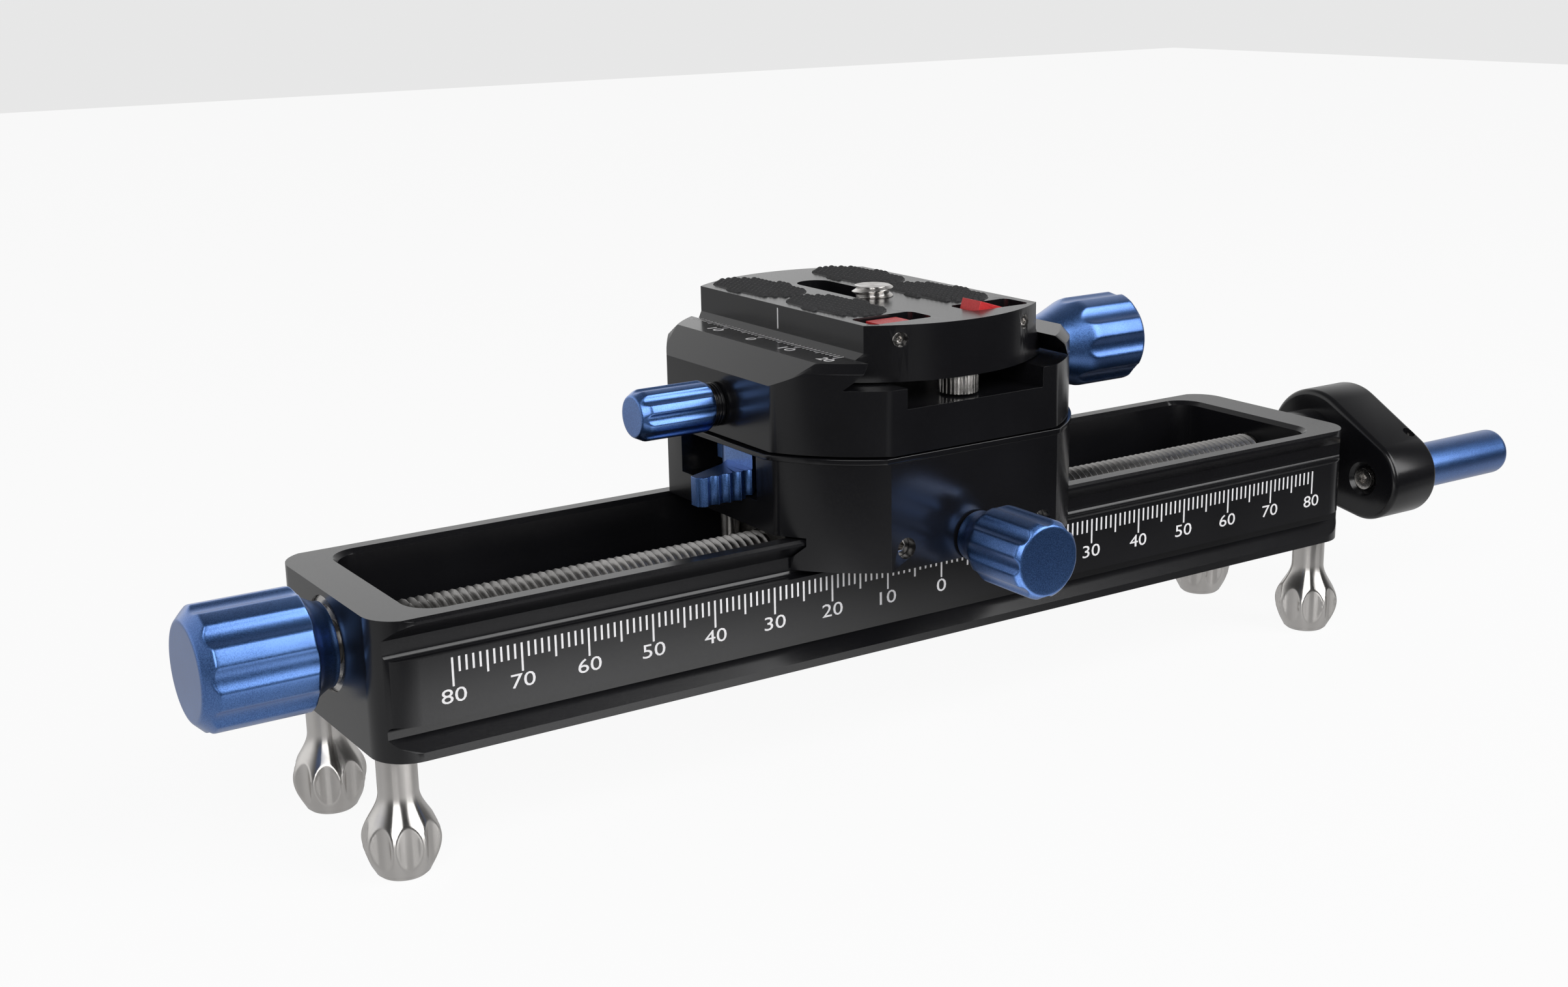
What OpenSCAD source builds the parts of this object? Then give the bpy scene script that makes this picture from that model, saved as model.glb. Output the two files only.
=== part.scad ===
// Macro focusing rail: a dovetail rail on four feet, a lead screw with a knob and a crank,
// a carriage with a half nut, and a swivelling clamp that holds a quick-release plate.
// The origin is the mouth of the tripod socket, in the middle of the rail's underside.
// +X runs along the rail to the crank, the scale faces -Y, and Z points up.

/* [Rail] */
// Length of the rail
rail_l = 180; // [168:1:220]
// Width of the rail over its two dovetails
rail_w = 38; // [38:0.5:42]
// Height of the rail
rail_h = 19.6; // [19.6:0.2:24]
// Radius of the rail's upright corners
rail_corner_r = 5.5; // [4:0.5:6.5]
// Thickness of each end wall
end_wall = 7; // [7:0.25:9]
// Thickness of the floor under the lead screw
floor_t = 5; // [4:0.25:5.5]
// Depth of the dovetail grooves in the rail's sides
groove_depth = 2; // [1.2:0.1:2]
// Wall between the window and the bottom of a groove
groove_wall = 1.2; // [1:0.1:2]
// Inner corner radius of the window
window_corner_r = 4; // [3:0.5:5]
// Height of the upper lip of the rail
lip_h = 0.8; // [0.6:0.1:1.2]
// Depth of the scale face's upper edge under the rail's top
scale_top_drop = 5.5; // [5.2:0.1:6.5]
// Height of the scale face
scale_face_h = 9.1; // [8:0.1:9.2]
// Height of the lower flange of the rail
flange_h = 1.2; // [1:0.1:1.4]
// Bevel round the mouth of the window
window_bevel = 0.7; // [0.4:0.1:0.8]

/* [Feet] */
// Height of the feet under the rail
foot_h = 17.2; // [16:0.2:22]
// Diameter of the bulb of a foot
foot_bulb_d = 10.8; // [10:0.2:11.4]
// Diameter of the stem of a foot
foot_stem_d = 5.5; // [5:0.1:6]
// Diameter of the threaded stud of a foot
foot_stud_d = 4; // [3:0.5:4]
// Length of the threaded stud of a foot
foot_stud_l = 3.6; // [3:0.2:4]
// Distance of a foot from the end of the rail
foot_inset = 3.6; // [3.5:0.1:4]
// Distance of a foot's axis from the rail's long side
foot_edge = 5.8; // [5.6:0.1:6.6]
// Number of finger flats on a foot
foot_flats = 8; // [6:1:9]

/* [Lead screw] */
// Outer diameter of the lead screw
screw_d = 8; // [6:0.5:8]
// Diameter of the screw's journals
journal_d = 6; // [4:0.5:6]
// Height of the screw's axis over the rail's underside
screw_z = 12; // [11.6:0.1:12.4]
// Outer diameter of the screw's bearings
bearing_d = 13.4; // [12:0.2:13.6]
// Thickness of the screw's bearings
bearing_t = 5; // [4:0.25:5.2]

/* [Fine knob] */
// Diameter of the fine knob
fine_knob_d = 17.4; // [15:0.2:20]
// Length of the fine knob, with its neck
fine_knob_l = 19; // [17:0.2:24]
// Number of flutes on the fine knob
fine_knob_flutes = 9; // [8:1:12]

/* [Crank] */
// Length of the hub between the rail and the crank arm
crank_hub_l = 9.8; // [6:0.2:12]
// Thickness of the crank arm
crank_arm_t = 11.2; // [9:0.2:13]
// Diameter of the arm's end on the screw
crank_big_d = 19.6; // [18:0.2:22]
// Diameter of the arm's end at the handle
crank_small_d = 15; // [13:0.2:15.6]
// Distance from the screw's axis to the handle's axis
crank_throw = 13.44; // [12:0.1:15]
// Diameter of the crank handle
handle_d = 8.2; // [7:0.1:9]
// Length of the crank handle
handle_l = 23.6; // [20:0.2:30]
// Diameter of the handle's axle
axle_d = 3; // [2.5:0.1:3.4]

/* [Carriage] */
// Diameter of the carriage and of the clamp in plan
head_d = 62.6; // [62:0.2:64]
// Distance of the fine-knob side flat from the middle
flat_left = 27.5; // [26.5:0.1:28.5]
// Distance of the crank side flat from the middle
flat_right = 24; // [24:0.1:25]
// Distance of the front and back flats from the middle
flat_side = 27.3; // [26.5:0.1:28.5]
// Reach of the carriage's arms under the rail's top
arm_drop = 4.6; // [4:0.1:4.8]
// Height of the carriage over the rail's top
carriage_h = 11.4; // [11:0.1:12]
// Thickness of the turntable disc
turntable_t = 0.8; // [0.6:0.1:1]

/* [Release lever and half nut] */
// Width of the lever's recess
recess_w = 21.4; // [20:0.2:22]
// Depth of the lever's recess
recess_depth = 10.4; // [10.2:0.1:10.8]
// Height of the lever's recess
recess_h = 6.9; // [6.5:0.1:7]
// Height of the lever's thumb piece
lever_h = 4.3; // [3.8:0.1:5]
// Diameter of the lever's pivot pin
lever_pin_d = 3; // [2.5:0.1:3.4]
// Diameter of the lever's hub
lever_hub_d = 8; // [7:0.2:8.4]
// Length of the half nut along the screw
half_nut_l = 14; // [10:0.5:14]
// Lift of the half nut off the screw
half_nut_lift = 1.2; // [0.9:0.1:1.2]
// Diameter of the half nut's guide pin
guide_pin_d = 3; // [2.4:0.1:3]

/* [Lock knobs] */
// Diameter of the carriage's lock knob
lock_knob_d = 11.6; // [10:0.2:13]
// Length of the carriage's lock knob, with its neck
lock_knob_l = 16.1; // [14:0.1:20]
// Number of flutes on the carriage's lock knob
lock_knob_flutes = 8; // [6:1:10]
// Diameter of the swivel's lock knob
swivel_knob_d = 7.7; // [7:0.1:9]
// Length of the swivel's lock knob
swivel_knob_l = 12.3; // [10:0.1:16]
// Number of flutes on the swivel's lock knob
swivel_knob_flutes = 8; // [6:1:10]

/* [Clamp] */
// Height of the clamp's base up to its pocket floor
pocket_floor_h = 6.5; // [6.2:0.1:7]
// Depth of the pocket under the plate
pocket_depth = 3; // [2.8:0.1:3.4]
// Height of the jaws over the base's shoulders
jaw_h = 3.66; // [3.4:0.02:3.8]
// Travel of the moving jaw
jaw_travel = 3; // [2:0.25:3]
// Diameter of the clamp knob
clamp_knob_d = 14.7; // [13:0.1:17]
// Length of the clamp knob, with its neck
clamp_knob_l = 27.6; // [24:0.2:32]
// Number of flutes on the clamp knob
clamp_knob_flutes = 8; // [6:1:10]
// Diameter of the clamp's screw
clamp_screw_d = 6; // [4:0.5:6]

/* [Quick-release plate] */
// Width of the plate over its dovetail
plate_w = 38; // [37:0.1:38.4]
// Thickness of the plate
plate_t = 8.2; // [8:0.1:9]
// Radius of the plate's two curved ends
plate_end_r = 26.6; // [25:0.1:27.4]
// Distance between the centres of the two end curves
plate_extra_l = 2; // [0:0.5:6]
// Width of the camera screw's slot
slot_w = 5.8; // [5.4:0.1:6]
// Distance between the centres of the slot's ends
slot_l = 15.7; // [10:0.1:16]
// Diameter of the camera screw's thread, a quarter inch
camera_screw_d = 6.35; // [6.35:0.01:6.35]
// Width of a rubber pad
pad_w = 9.8; // [8:0.2:10]
// Height of a pad over the plate
pad_proud = 0.3; // [0.2:0.05:0.5]

/* [Hidden] */
// Overrun of every cut past the face that it opens
over = 1;
// Gap between faces that slide past each other
slide_gap = 0.3;
// Gap between a shoulder and the face that it seats on
seat_gap = 0.1;
// Radial clearance of a running shaft
run_gap = 0.05;
// Radial clearance of a piece that is pressed or screwed in
fit_gap = 0.02;
// Segments of a full circle
fine = 96;
$fn = fine;

black = "#1b1c1f";
blue = "#2f62a8";
steel = "#b9b6b2";
brass = "#b8934a";
dark_steel = "#6d6b68";
red = "#c8202a";
rubber = "#141414";

// Derived places of the rail
half_l = rail_l / 2;
half_w = rail_w / 2;
window_l = rail_l - 2 * end_wall;
window_w = rail_w - 2 * (groove_depth + groove_wall);
scale_top_z = rail_h - scale_top_drop;
scale_bottom_z = scale_top_z - scale_face_h;
undercut_z = rail_h - lip_h;
groove_fillet = 0.8;
lip_chamfer = 0.4;
bush_d = 12;
tripod_thread_d = 7.94;
foot_x = half_l - foot_inset;
foot_side = half_w - foot_edge;
foot_hole_spare = 0.6;
foot_hole_l = foot_stud_l + foot_hole_spare;

// Derived places of the lead screw and what turns with it
bearing_recess = 0.4;
ring_t = 0.8;
ring_w = 1.3;
bearing_outer_x = half_l - bearing_recess - ring_t;
bearing_inner_x = bearing_outer_x - bearing_t;
screw_half_l = bearing_inner_x - seat_gap;
thread_hole_d = screw_d + 2 * slide_gap;
knob_start_x = half_l + slide_gap;
fine_neck_d = 12;
fine_neck_l = 0.8;
fine_cone_l = 3;
fine_bevel_l = 1.8;
fine_face_d = 13.8;
fine_blind = 3;
flute_depth = 0.6;
flute_share = 0.55;
crank_arm_x = knob_start_x + crank_hub_l;
crank_end_x = crank_arm_x + crank_arm_t;
crank_hub_d = 12.4;
crank_angle = 199.1;
crank_blind = 1.2;
handle_y = crank_throw * cos(crank_angle);
handle_z = screw_z + crank_throw * sin(crank_angle);
handle_x = crank_end_x + slide_gap;
handle_bevel = 0.6;
axle_head_d = 3.8;
axle_head_h = 2.4;
axle_sink_d = 6;
axle_share = 0.75;
axle_l = handle_x + axle_share * handle_l - crank_arm_x;
grub_d = 2.2;
grub_l = 2.4;
grub_key_d = 1.2;

// Derived places of the carriage
head_r = head_d / 2;
carriage_z0 = rail_h - arm_drop;
carriage_z1 = rail_h + carriage_h;
channel_half = half_w + slide_gap;
groove_half = half_w - groove_depth + slide_gap;
dovetail_gap = slide_gap * sqrt(2);
hook_low_z = undercut_z - groove_depth + slide_gap - dovetail_gap;
hook_high_z = undercut_z + slide_gap - dovetail_gap;
turntable_z1 = carriage_z1 + turntable_t;
turntable_rim = 0.2;
turntable_r = head_r + turntable_rim;
turntable_lip = 0.7;
turntable_screw_d = 2.5;
turntable_screw_head_d = 4.6;
turntable_screw_l = 5.6;
turntable_screw_inset = 6.5;
turntable_screw_r = head_r - turntable_screw_inset;
turntable_screws_n = 4;
post_d = 20;
post_sink = 4;
gib_end_inset = 13.3;
gib_half_l = head_r - gib_end_inset;
gib_t = 2.2;
gib_rise = 0.2;
gib_z0 = carriage_z0 + gib_rise;
gib_z1 = hook_high_z - seat_gap;
gib_gap = 0.05;
lock_drop = 1.6;
lock_z = rail_h - lock_drop;
lock_stud_d = 4.4;
set_screw_x = 12.6;
set_screw_rise = 0.2;
set_screw_z = lock_z + set_screw_rise;
set_screw_d = 3.1;
set_screw_l = 4;

// Derived places of the lever and the half nut
recess_z0 = carriage_z1 - recess_h;
lever_axis_inset = 5.5;
lever_axis_x = -flat_left + lever_axis_inset;
lever_drop = 0.2;
lever_z0 = recess_z0 - lever_drop;
lever_z1 = lever_z0 + lever_h;
lever_hub_z0 = recess_z0 + slide_gap;
lever_hub_z1 = carriage_z1 - slide_gap;
lever_reach = 13.9;
lever_tip_x = lever_axis_x - lever_reach;
lever_face_y = -8.7;
lever_back_reach = 6.5;
lever_back_x = lever_axis_x - lever_back_reach;
lever_back_y = -2.7;
lever_end_y = -6.3;
lever_root_reach = 5;
lever_root_x = lever_axis_x - lever_root_reach;
lever_scallops = 4;
lever_scallop_pitch = 1.9;
lever_scallop_start = 1.14;
lever_scallop_r = 1.05;
guide_pin_shift = 0.1;
guide_pin_x = lever_axis_x + guide_pin_shift;
guide_pin_y = 6.1;
guide_pin_head_d = 3.6;
guide_pin_head_h = 0.8;
lever_finger_z0 = recess_z0 + guide_pin_head_h + half_nut_lift + 2 * slide_gap;
lever_finger_w = 3.2;
lever_finger_t = lever_hub_z1 - lever_finger_z0 - seat_gap;
lever_finger_past = 0.6;
lever_finger_r = norm([guide_pin_shift, guide_pin_y]) + lever_finger_past;
lever_finger_angle = atan2(guide_pin_y, guide_pin_shift);
half_nut_inset = 1.7;
half_nut_x0 = lever_axis_x + half_nut_inset;
half_nut_rise = 0.4;
half_nut_z0 = screw_z + half_nut_rise;
half_nut_z1 = rail_h - half_nut_lift;
half_nut_half_w = 7;
nut_ear_drop = 3;
nut_ear_rise = 1;
nut_ear_z0 = screw_z - nut_ear_drop;
nut_ear_z1 = screw_z + nut_ear_rise;
nut_ear_half = 2.2;
nut_spring_inset = 6.8;
nut_spring_x = half_nut_x0 + nut_spring_inset;
nut_spring_d = 5;
nut_spring_wire = 0.8;
nut_spring_hole_h = 6;

// Derived places of the lock knobs
lock_neck_d = 7.7;
lock_neck_l = 1.8;
lock_cone_l = 3.4;
lock_face_d = 10.2;
lock_bevel_l = 0.8;
lock_blind = 5;
swivel_collar_d = 6.6;
swivel_collar_l = 1.9;
swivel_face_d = 6.1;
swivel_bevel_l = 1.4;
swivel_stud_d = 3;
swivel_plug_l = 2.3;
swivel_blind = 4;

// Derived places of the clamp
base_z0 = turntable_z1 + slide_gap;
swivel_rise = 4.57;
swivel_z = base_z0 + swivel_rise;
clamp_screw_rise = 5.7;
clamp_z = base_z0 + clamp_screw_rise;
pocket_z = base_z0 + pocket_floor_h;
shoulder_z = pocket_z + pocket_depth;
jaw_z1 = shoulder_z + jaw_h;
post_top_z = pocket_z - seat_gap;
post_groove_depth = 1.2;
post_groove_h = 2.6;
pocket_half = 12.4;
plate_z0 = shoulder_z + slide_gap;
plate_z1 = plate_z0 + plate_t;
plate_lip_h = 1;
plate_slope = 3.2;
plate_slope_z = plate_z0 + plate_lip_h;
nose_gap = 0.42;
nose_x = plate_w / 2 - (jaw_z1 - plate_slope_z) + nose_gap;
jaw_foot_x = nose_x + jaw_h;
facet_x = 4.9;
facet_h = 3.46;
end_bevel = 1.3;
clamp_inset = 0.25;
clamp_r = head_r - clamp_inset;
leg_half = 12;
leg_t = 5.5;
leg_x0 = flat_right - leg_t;
leg_rise = 1.4;
leg_z0 = base_z0 + leg_rise;
jaw_split_z = shoulder_z + slide_gap;
clamp_screw_tip_x = pocket_half + slide_gap;
clamp_neck_d = 8.4;
clamp_neck_l = 8.8;
clamp_cone_l = 8;
clamp_bevel_l = 0.8;
clamp_blind = 4;
jaw_pin_y = 8;
jaw_pin_d = 3;
jaw_pin_inset = 0.4;
jaw_pin_x0 = pocket_half + jaw_pin_inset;
jaw_pin_grip = 1.1;
jaw_pin_x1 = leg_x0 + jaw_travel + jaw_pin_grip;
jaw_spring_d = 4.6;
jaw_spring_wire = 0.6;
jaw_spring_inset = 1.6;
jaw_spring_x0 = pocket_half + jaw_spring_inset;

// Derived places of the plate
slot_y0 = -1.5;
slot_sink_w = 10.6;
slot_sink_h = 4.2;
camera_head_h = 2.7;
camera_head_gap = 0.4;
camera_head_d = 9.8;
camera_neck_d = 5;
camera_top = 1.7;
camera_slot_w = 1.2;
camera_slot_h = 1;
washer_t = 0.5;
washer_gap = 0.2;
washer_z0 = plate_z0 + camera_head_gap + camera_head_h + washer_gap;
pad_x = 9.5;
pad_sink = 0.6;
pad_power = 2.6;
pad_points = 40;
stop_pocket_x0 = 3.5;
stop_pocket_l = 10.9;
stop_pocket_inset = 4.9;
stop_pocket_y0 = stop_pocket_inset - plate_end_r;
stop_pocket_w = 5.8;
stop_pocket_depth = 5;
pad_near_gap = 0.6;
pad_gap = 1.2;
pad_end_inset = 2.7;
pad_y0 = stop_pocket_y0 + stop_pocket_w + pad_near_gap;
pad_y1 = plate_end_r + plate_extra_l - pad_end_inset;
pad_l = (pad_y1 - pad_y0 - pad_gap) / 2;
pad_near_y = pad_y0 + pad_l / 2;
pad_far_y = pad_y1 - pad_l / 2;
stop_pocket_r = 1.2;
stop_l = 5.2;
stop_w = 4.4;
stop_boss_r = 1.2;
stop_end_h = 2.6;
stop_drop = 0.4;
stop_pin_d = 1.2;
stop_pin_grip = 0.8;
stop_pin_y0 = stop_pocket_y0 - stop_pin_grip;
stop_pin_l = stop_pocket_w + 2 * stop_pin_grip;
stop_raise = 18;
left_stop_x = -6.8;
right_stop_x = 10.2;
stop_z = plate_z1 - stop_drop - stop_boss_r;
plate_screw_x = 11.3;
plate_screw_drop = 2.1;
plate_screw_z = plate_z1 - plate_screw_drop;
plate_screw_d = 2.1;
plate_screw_l = 1;
plate_screw_wall = 0.2;
plate_screw_y1 = stop_pin_y0 - plate_screw_wall;
stop_screw_d = 5.7;
stop_screw_inset = 3.6;
stop_screw_y = stop_screw_inset - plate_end_r;
stop_screw_h = 2.95;
stop_screw_shank_d = 2.5;
stop_screw_shank_l = 2.6;
stop_screw_teeth = 24;
stop_screw_tooth_r = 0.14;

// Points on an arc, for outlines
function arc(c, r, a0, a1, n) =
    [for (i = [0:n]) c + r * [cos(a0 + (a1 - a0) * i / n), sin(a0 + (a1 - a0) * i / n)]];

// Rectangle with round corners, centred
module round_rect(l, w, r) {
    square([l - 2 * r, w], center = true);
    square([l, w - 2 * r], center = true);
    for (sx = [-1, 1], sy = [-1, 1])
        translate([sx * (l / 2 - r), sy * (w / 2 - r)]) circle(r);
}

// Slab over a round-cornered rectangle that grows by c on every side over its height c
module flare_slab(l, w, r, c) {
    for (sx = [-1, 1], sy = [-1, 1])
        translate([sx * (l / 2 - r), sy * (w / 2 - r), 0]) cylinder(h = c, r1 = r, r2 = r + c);
    rotate([90, 0, 0]) translate([0, 0, -(w / 2 - r)]) linear_extrude(w - 2 * r)
        polygon([[-l / 2, 0], [l / 2, 0], [l / 2 + c, c], [-l / 2 - c, c]]);
    rotate([90, 0, 90]) translate([0, 0, -(l / 2 - r)]) linear_extrude(l - 2 * r)
        polygon([[-w / 2, 0], [w / 2, 0], [w / 2 + c, c], [-w / 2 - c, c]]);
}

// Prism along X of an outline in Y and Z
module along_x(x0, x1) {
    translate([x0, 0, 0]) rotate([90, 0, 90]) linear_extrude(x1 - x0) children();
}

// Prism along Y of an outline in X and Z
module along_y(y0, y1) {
    translate([0, y1, 0]) rotate([90, 0, 0]) linear_extrude(y1 - y0) children();
}

// Rod along X, from x0 to x1
module rod_x(x0, x1, y, z, d) {
    translate([x0, y, z]) rotate([0, 90, 0]) cylinder(h = x1 - x0, d = d);
}

// Rod along Y, from y0 to y1
module rod_y(y0, y1, x, z, d) {
    translate([x, y1, z]) rotate([90, 0, 0]) cylinder(h = y1 - y0, d = d);
}

// Both sides of the middle plane
module both_sides() {
    children();
    mirror([0, 1, 0]) children();
}

// Outline of the rail's upper groove, at the +Y side
module upper_groove() {
    y1 = half_w - groove_depth;
    corner = [y1 + groove_fillet, scale_top_z + groove_fillet];
    polygon(concat([[half_w + over, undercut_z], [half_w, undercut_z], [y1, undercut_z - groove_depth]],
        arc(corner, groove_fillet, 180, 270, 6),
        [[half_w + over, scale_top_z]]));
}

// Outline of the rail's lower groove, at the +Y side
module lower_groove() {
    y1 = half_w - groove_depth;
    corner = [y1 + groove_fillet, scale_bottom_z - groove_fillet];
    polygon(concat([[half_w + over, scale_bottom_z]],
        arc(corner, groove_fillet, 90, 180, 6),
        [[y1, flange_h + groove_depth], [half_w, flange_h], [half_w + over, flange_h]]));
}

// Outline of the chamfer on the rail's top edge, at the +Y side
module lip_chamfer_cut() {
    polygon([[half_w - lip_chamfer, rail_h], [half_w + over, rail_h - lip_chamfer - over],
        [half_w + over, rail_h + over], [half_w - lip_chamfer, rail_h + over]]);
}

module rail_body() {
    color(black) difference() {
        linear_extrude(rail_h) round_rect(rail_l, rail_w, rail_corner_r);
        both_sides() along_x(-half_l - over, half_l + over) {
            upper_groove();
            lower_groove();
            lip_chamfer_cut();
        }
        translate([0, 0, floor_t]) linear_extrude(rail_h)
            round_rect(window_l, window_w, window_corner_r);
        translate([0, 0, rail_h - window_bevel])
            flare_slab(window_l, window_w, window_corner_r, window_bevel + over);
        rod_x(-half_l - over, half_l + over, 0, screw_z, thread_hole_d);
        for (s = [0, 1]) mirror([s, 0, 0])
            rod_x(bearing_inner_x, half_l + over, 0, screw_z, bearing_d + 2 * fit_gap);
        for (sx = [-1, 1], sy = [-1, 1])
            translate([sx * foot_x, sy * foot_side, -over])
                cylinder(h = foot_hole_l + over, d = foot_stud_d + 2 * run_gap);
        translate([0, 0, -over]) cylinder(h = floor_t + 2 * over, d = bush_d + 2 * fit_gap);
    }
}

// Threaded insert for the tripod screw
module tripod_bush() {
    color(steel) difference() {
        cylinder(h = floor_t, d = bush_d);
        translate([0, 0, -over]) cylinder(h = floor_t + 2 * over, d = tripod_thread_d);
    }
}

module bearing() {
    difference() {
        rod_x(bearing_inner_x, bearing_outer_x, 0, screw_z, bearing_d);
        rod_x(bearing_inner_x - over, bearing_outer_x + over, 0, screw_z, journal_d + 2 * run_gap);
    }
}

module fine_bearing() {
    color(steel) mirror([1, 0, 0]) bearing();
}

module crank_bearing() {
    color(steel) bearing();
}

// Snap rings that hold the two bearings in the end walls
module retaining_rings() {
    color(steel) for (s = [0, 1]) mirror([s, 0, 0]) difference() {
        rod_x(bearing_outer_x, bearing_outer_x + ring_t, 0, screw_z, bearing_d);
        rod_x(bearing_outer_x - over, bearing_outer_x + ring_t + over, 0, screw_z,
            bearing_d - 2 * ring_w);
    }
}

// Radius of a foot at a depth t under the rail, as a share of its height
foot_neck_share = 0.31;
foot_bulb_share = 0.71;
foot_rim_share = 0.965;
foot_flat_share = 0.62;
foot_base_d = 7.4;
foot_rim_d = 7.6;
foot_flat_depth = 0.33;
foot_steps = 10;
function foot_neck_r(t) =
    foot_stem_d / 2 + (foot_bulb_d - foot_stem_d) / 2 * (1 - cos(180 * t)) / 2;
function foot_bulb_r(t) = foot_rim_d / 2 + (foot_bulb_d - foot_rim_d) / 2 * cos(90 * t);
foot_outline = concat(
    [[0, 0], [foot_stem_d / 2, 0]],
    [for (i = [0:foot_steps]) let (t = i / foot_steps) [foot_neck_r(t),
        -foot_h * (foot_neck_share + (foot_bulb_share - foot_neck_share) * t)]],
    [for (i = [1:foot_steps]) let (t = i / foot_steps) [foot_bulb_r(t),
        -foot_h * (foot_bulb_share + (foot_rim_share - foot_bulb_share) * t)]],
    [[foot_base_d / 2, -foot_h * foot_rim_share], [foot_base_d / 2, -foot_h], [0, -foot_h]]);

module foot(x, y) {
    flat_r = foot_bulb_d / 2 - foot_flat_depth;
    flat_top = foot_h * foot_flat_share;
    color(steel) translate([x, y, -seat_gap]) {
        difference() {
            rotate_extrude() polygon(foot_outline);
            for (i = [0:foot_flats - 1]) rotate(360 / foot_flats * (i + 0.5))
                translate([flat_r, -foot_bulb_d / 2, -foot_h])
                    cube([foot_bulb_d, foot_bulb_d, foot_h - flat_top + over]);
        }
        translate([0, 0, -seat_gap]) cylinder(h = foot_stud_l + 2 * seat_gap, d = foot_stud_d);
    }
}

module foot_front_left() {
    foot(-foot_x, -foot_side);
}

module foot_front_right() {
    foot(foot_x, -foot_side);
}

module foot_back_left() {
    foot(-foot_x, foot_side);
}

module foot_back_right() {
    foot(foot_x, foot_side);
}

// Lead screw with its two journals
module lead_screw() {
    color(dark_steel) {
        rod_x(-screw_half_l, screw_half_l, 0, screw_z, screw_d);
        rod_x(-knob_start_x - fine_knob_l + fine_blind, crank_end_x - crank_blind, 0, screw_z,
            journal_d);
    }
}

// Round flutes cut in the barrel of a knob whose axis is Z
module flutes(d, n, z0, z1) {
    r0 = d / 2;
    r1 = r0 - flute_depth;
    edge_x = r0 * cos(180 / n * flute_share);
    r = (r1 * r1 + r0 * r0 - 2 * r1 * edge_x) / (2 * (edge_x - r1));
    for (i = [0:n - 1]) rotate(360 / n * i)
        translate([r1 + r, 0, z0]) cylinder(h = z1 - z0, r = r);
}

// Turned knob along Z: neck at z = 0, then a cone, a fluted barrel and a bevelled face
module turned_knob(neck_d, neck_l, cone_l, d, l, bevel_l, face_d, n, bore_d, blind) {
    difference() {
        rotate_extrude() polygon([[0, 0], [neck_d / 2, 0], [neck_d / 2, neck_l],
            [d / 2, neck_l + cone_l], [d / 2, l - bevel_l], [face_d / 2, l], [0, l]]);
        flutes(d, n, neck_l, l + over);
        translate([0, 0, -over]) cylinder(h = l - blind + over, d = bore_d);
    }
}

module fine_knob() {
    color(blue) difference() {
        translate([-knob_start_x, 0, screw_z]) rotate([0, -90, 0])
            turned_knob(fine_neck_d, fine_neck_l, fine_cone_l, fine_knob_d, fine_knob_l,
                fine_bevel_l, fine_face_d, fine_knob_flutes, journal_d + 2 * fit_gap,
                fine_blind - seat_gap);
        translate([-knob_start_x - fine_knob_l / 2, 0, screw_z]) rotate([180, 0, 0])
            cylinder(h = fine_knob_d, d = grub_d + 2 * fit_gap);
    }
}

// Flat link between two round ends, at the origin and at the distance d along +X.
// Its flanks lie a hair inside the tangents, so that they cut the round ends cleanly.
link_inset = 0.02;
module link_outline(d0, d1, d) {
    a = acos((d0 - d1) / 2 / d);
    r0 = d0 / 2 - link_inset;
    r1 = d1 / 2 - link_inset;
    circle(d = d0);
    translate([d, 0]) circle(d = d1);
    polygon([r0 * [cos(a), sin(a)], [d, 0] + r1 * [cos(a), sin(a)],
        [d, 0] + r1 * [cos(a), -sin(a)], r0 * [cos(a), -sin(a)]]);
}

// Angle of the grub screw's hole in the flank of the arm, about the handle's axis
arm_grub_angle = 103;
arm_grub_sink = 0.6;
arm_grub_r = crank_small_d / 2 - arm_grub_sink;
arm_grub_inset = 1.6;
arm_grub_x = crank_end_x - arm_grub_inset;

module crank_arm() {
    color(black) difference() {
        union() {
            along_x(crank_arm_x, crank_end_x) translate([0, screw_z]) rotate(crank_angle)
                link_outline(crank_big_d, crank_small_d, crank_throw);
            rod_x(knob_start_x, crank_arm_x + over, 0, screw_z, crank_hub_d);
        }
        rod_x(knob_start_x - over, crank_end_x - crank_blind + seat_gap, 0, screw_z,
            journal_d + 2 * fit_gap);
        rod_x(crank_arm_x - over, crank_end_x + over, handle_y, handle_z, axle_d + 2 * fit_gap);
        rod_x(crank_arm_x - over, crank_arm_x + axle_head_h, handle_y, handle_z,
            axle_head_d + 2 * seat_gap);
        translate([crank_arm_x - over, handle_y, handle_z]) rotate([0, 90, 0])
            cylinder(h = over + (axle_sink_d - axle_head_d) / 2, d1 = axle_sink_d + 2 * over,
                d2 = axle_head_d);
        translate([arm_grub_x, handle_y, handle_z]) rotate([arm_grub_angle - 90, 0, 0])
            cylinder(h = crank_small_d, d = grub_d + 2 * fit_gap);
        translate([knob_start_x + crank_hub_l / 2, 0, screw_z]) rotate([180, 0, 0])
            cylinder(h = crank_hub_d, d = grub_d + 2 * fit_gap);
    }
}

// Socket set screw along Z, with its key hole at the top
module set_screw(d, l, key_d) {
    difference() {
        cylinder(h = l, d = d);
        translate([0, 0, l / 2]) cylinder(h = l, d = key_d, $fn = 6);
    }
}

// Grub screws that fix the knob, the hub and the handle's axle
module grub_screws() {
    color(dark_steel) {
        translate([-knob_start_x - fine_knob_l / 2, 0, screw_z - journal_d / 2 - seat_gap])
            rotate([180, 0, 0]) set_screw(grub_d, grub_l, grub_key_d);
        translate([knob_start_x + crank_hub_l / 2, 0, screw_z - journal_d / 2 - seat_gap])
            rotate([180, 0, 0]) set_screw(grub_d, grub_l, grub_key_d);
        translate([arm_grub_x, handle_y, handle_z]) rotate([arm_grub_angle - 90, 0, 0])
            translate([0, 0, arm_grub_r - grub_l]) set_screw(grub_d, grub_l, grub_key_d);
    }
}

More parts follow.
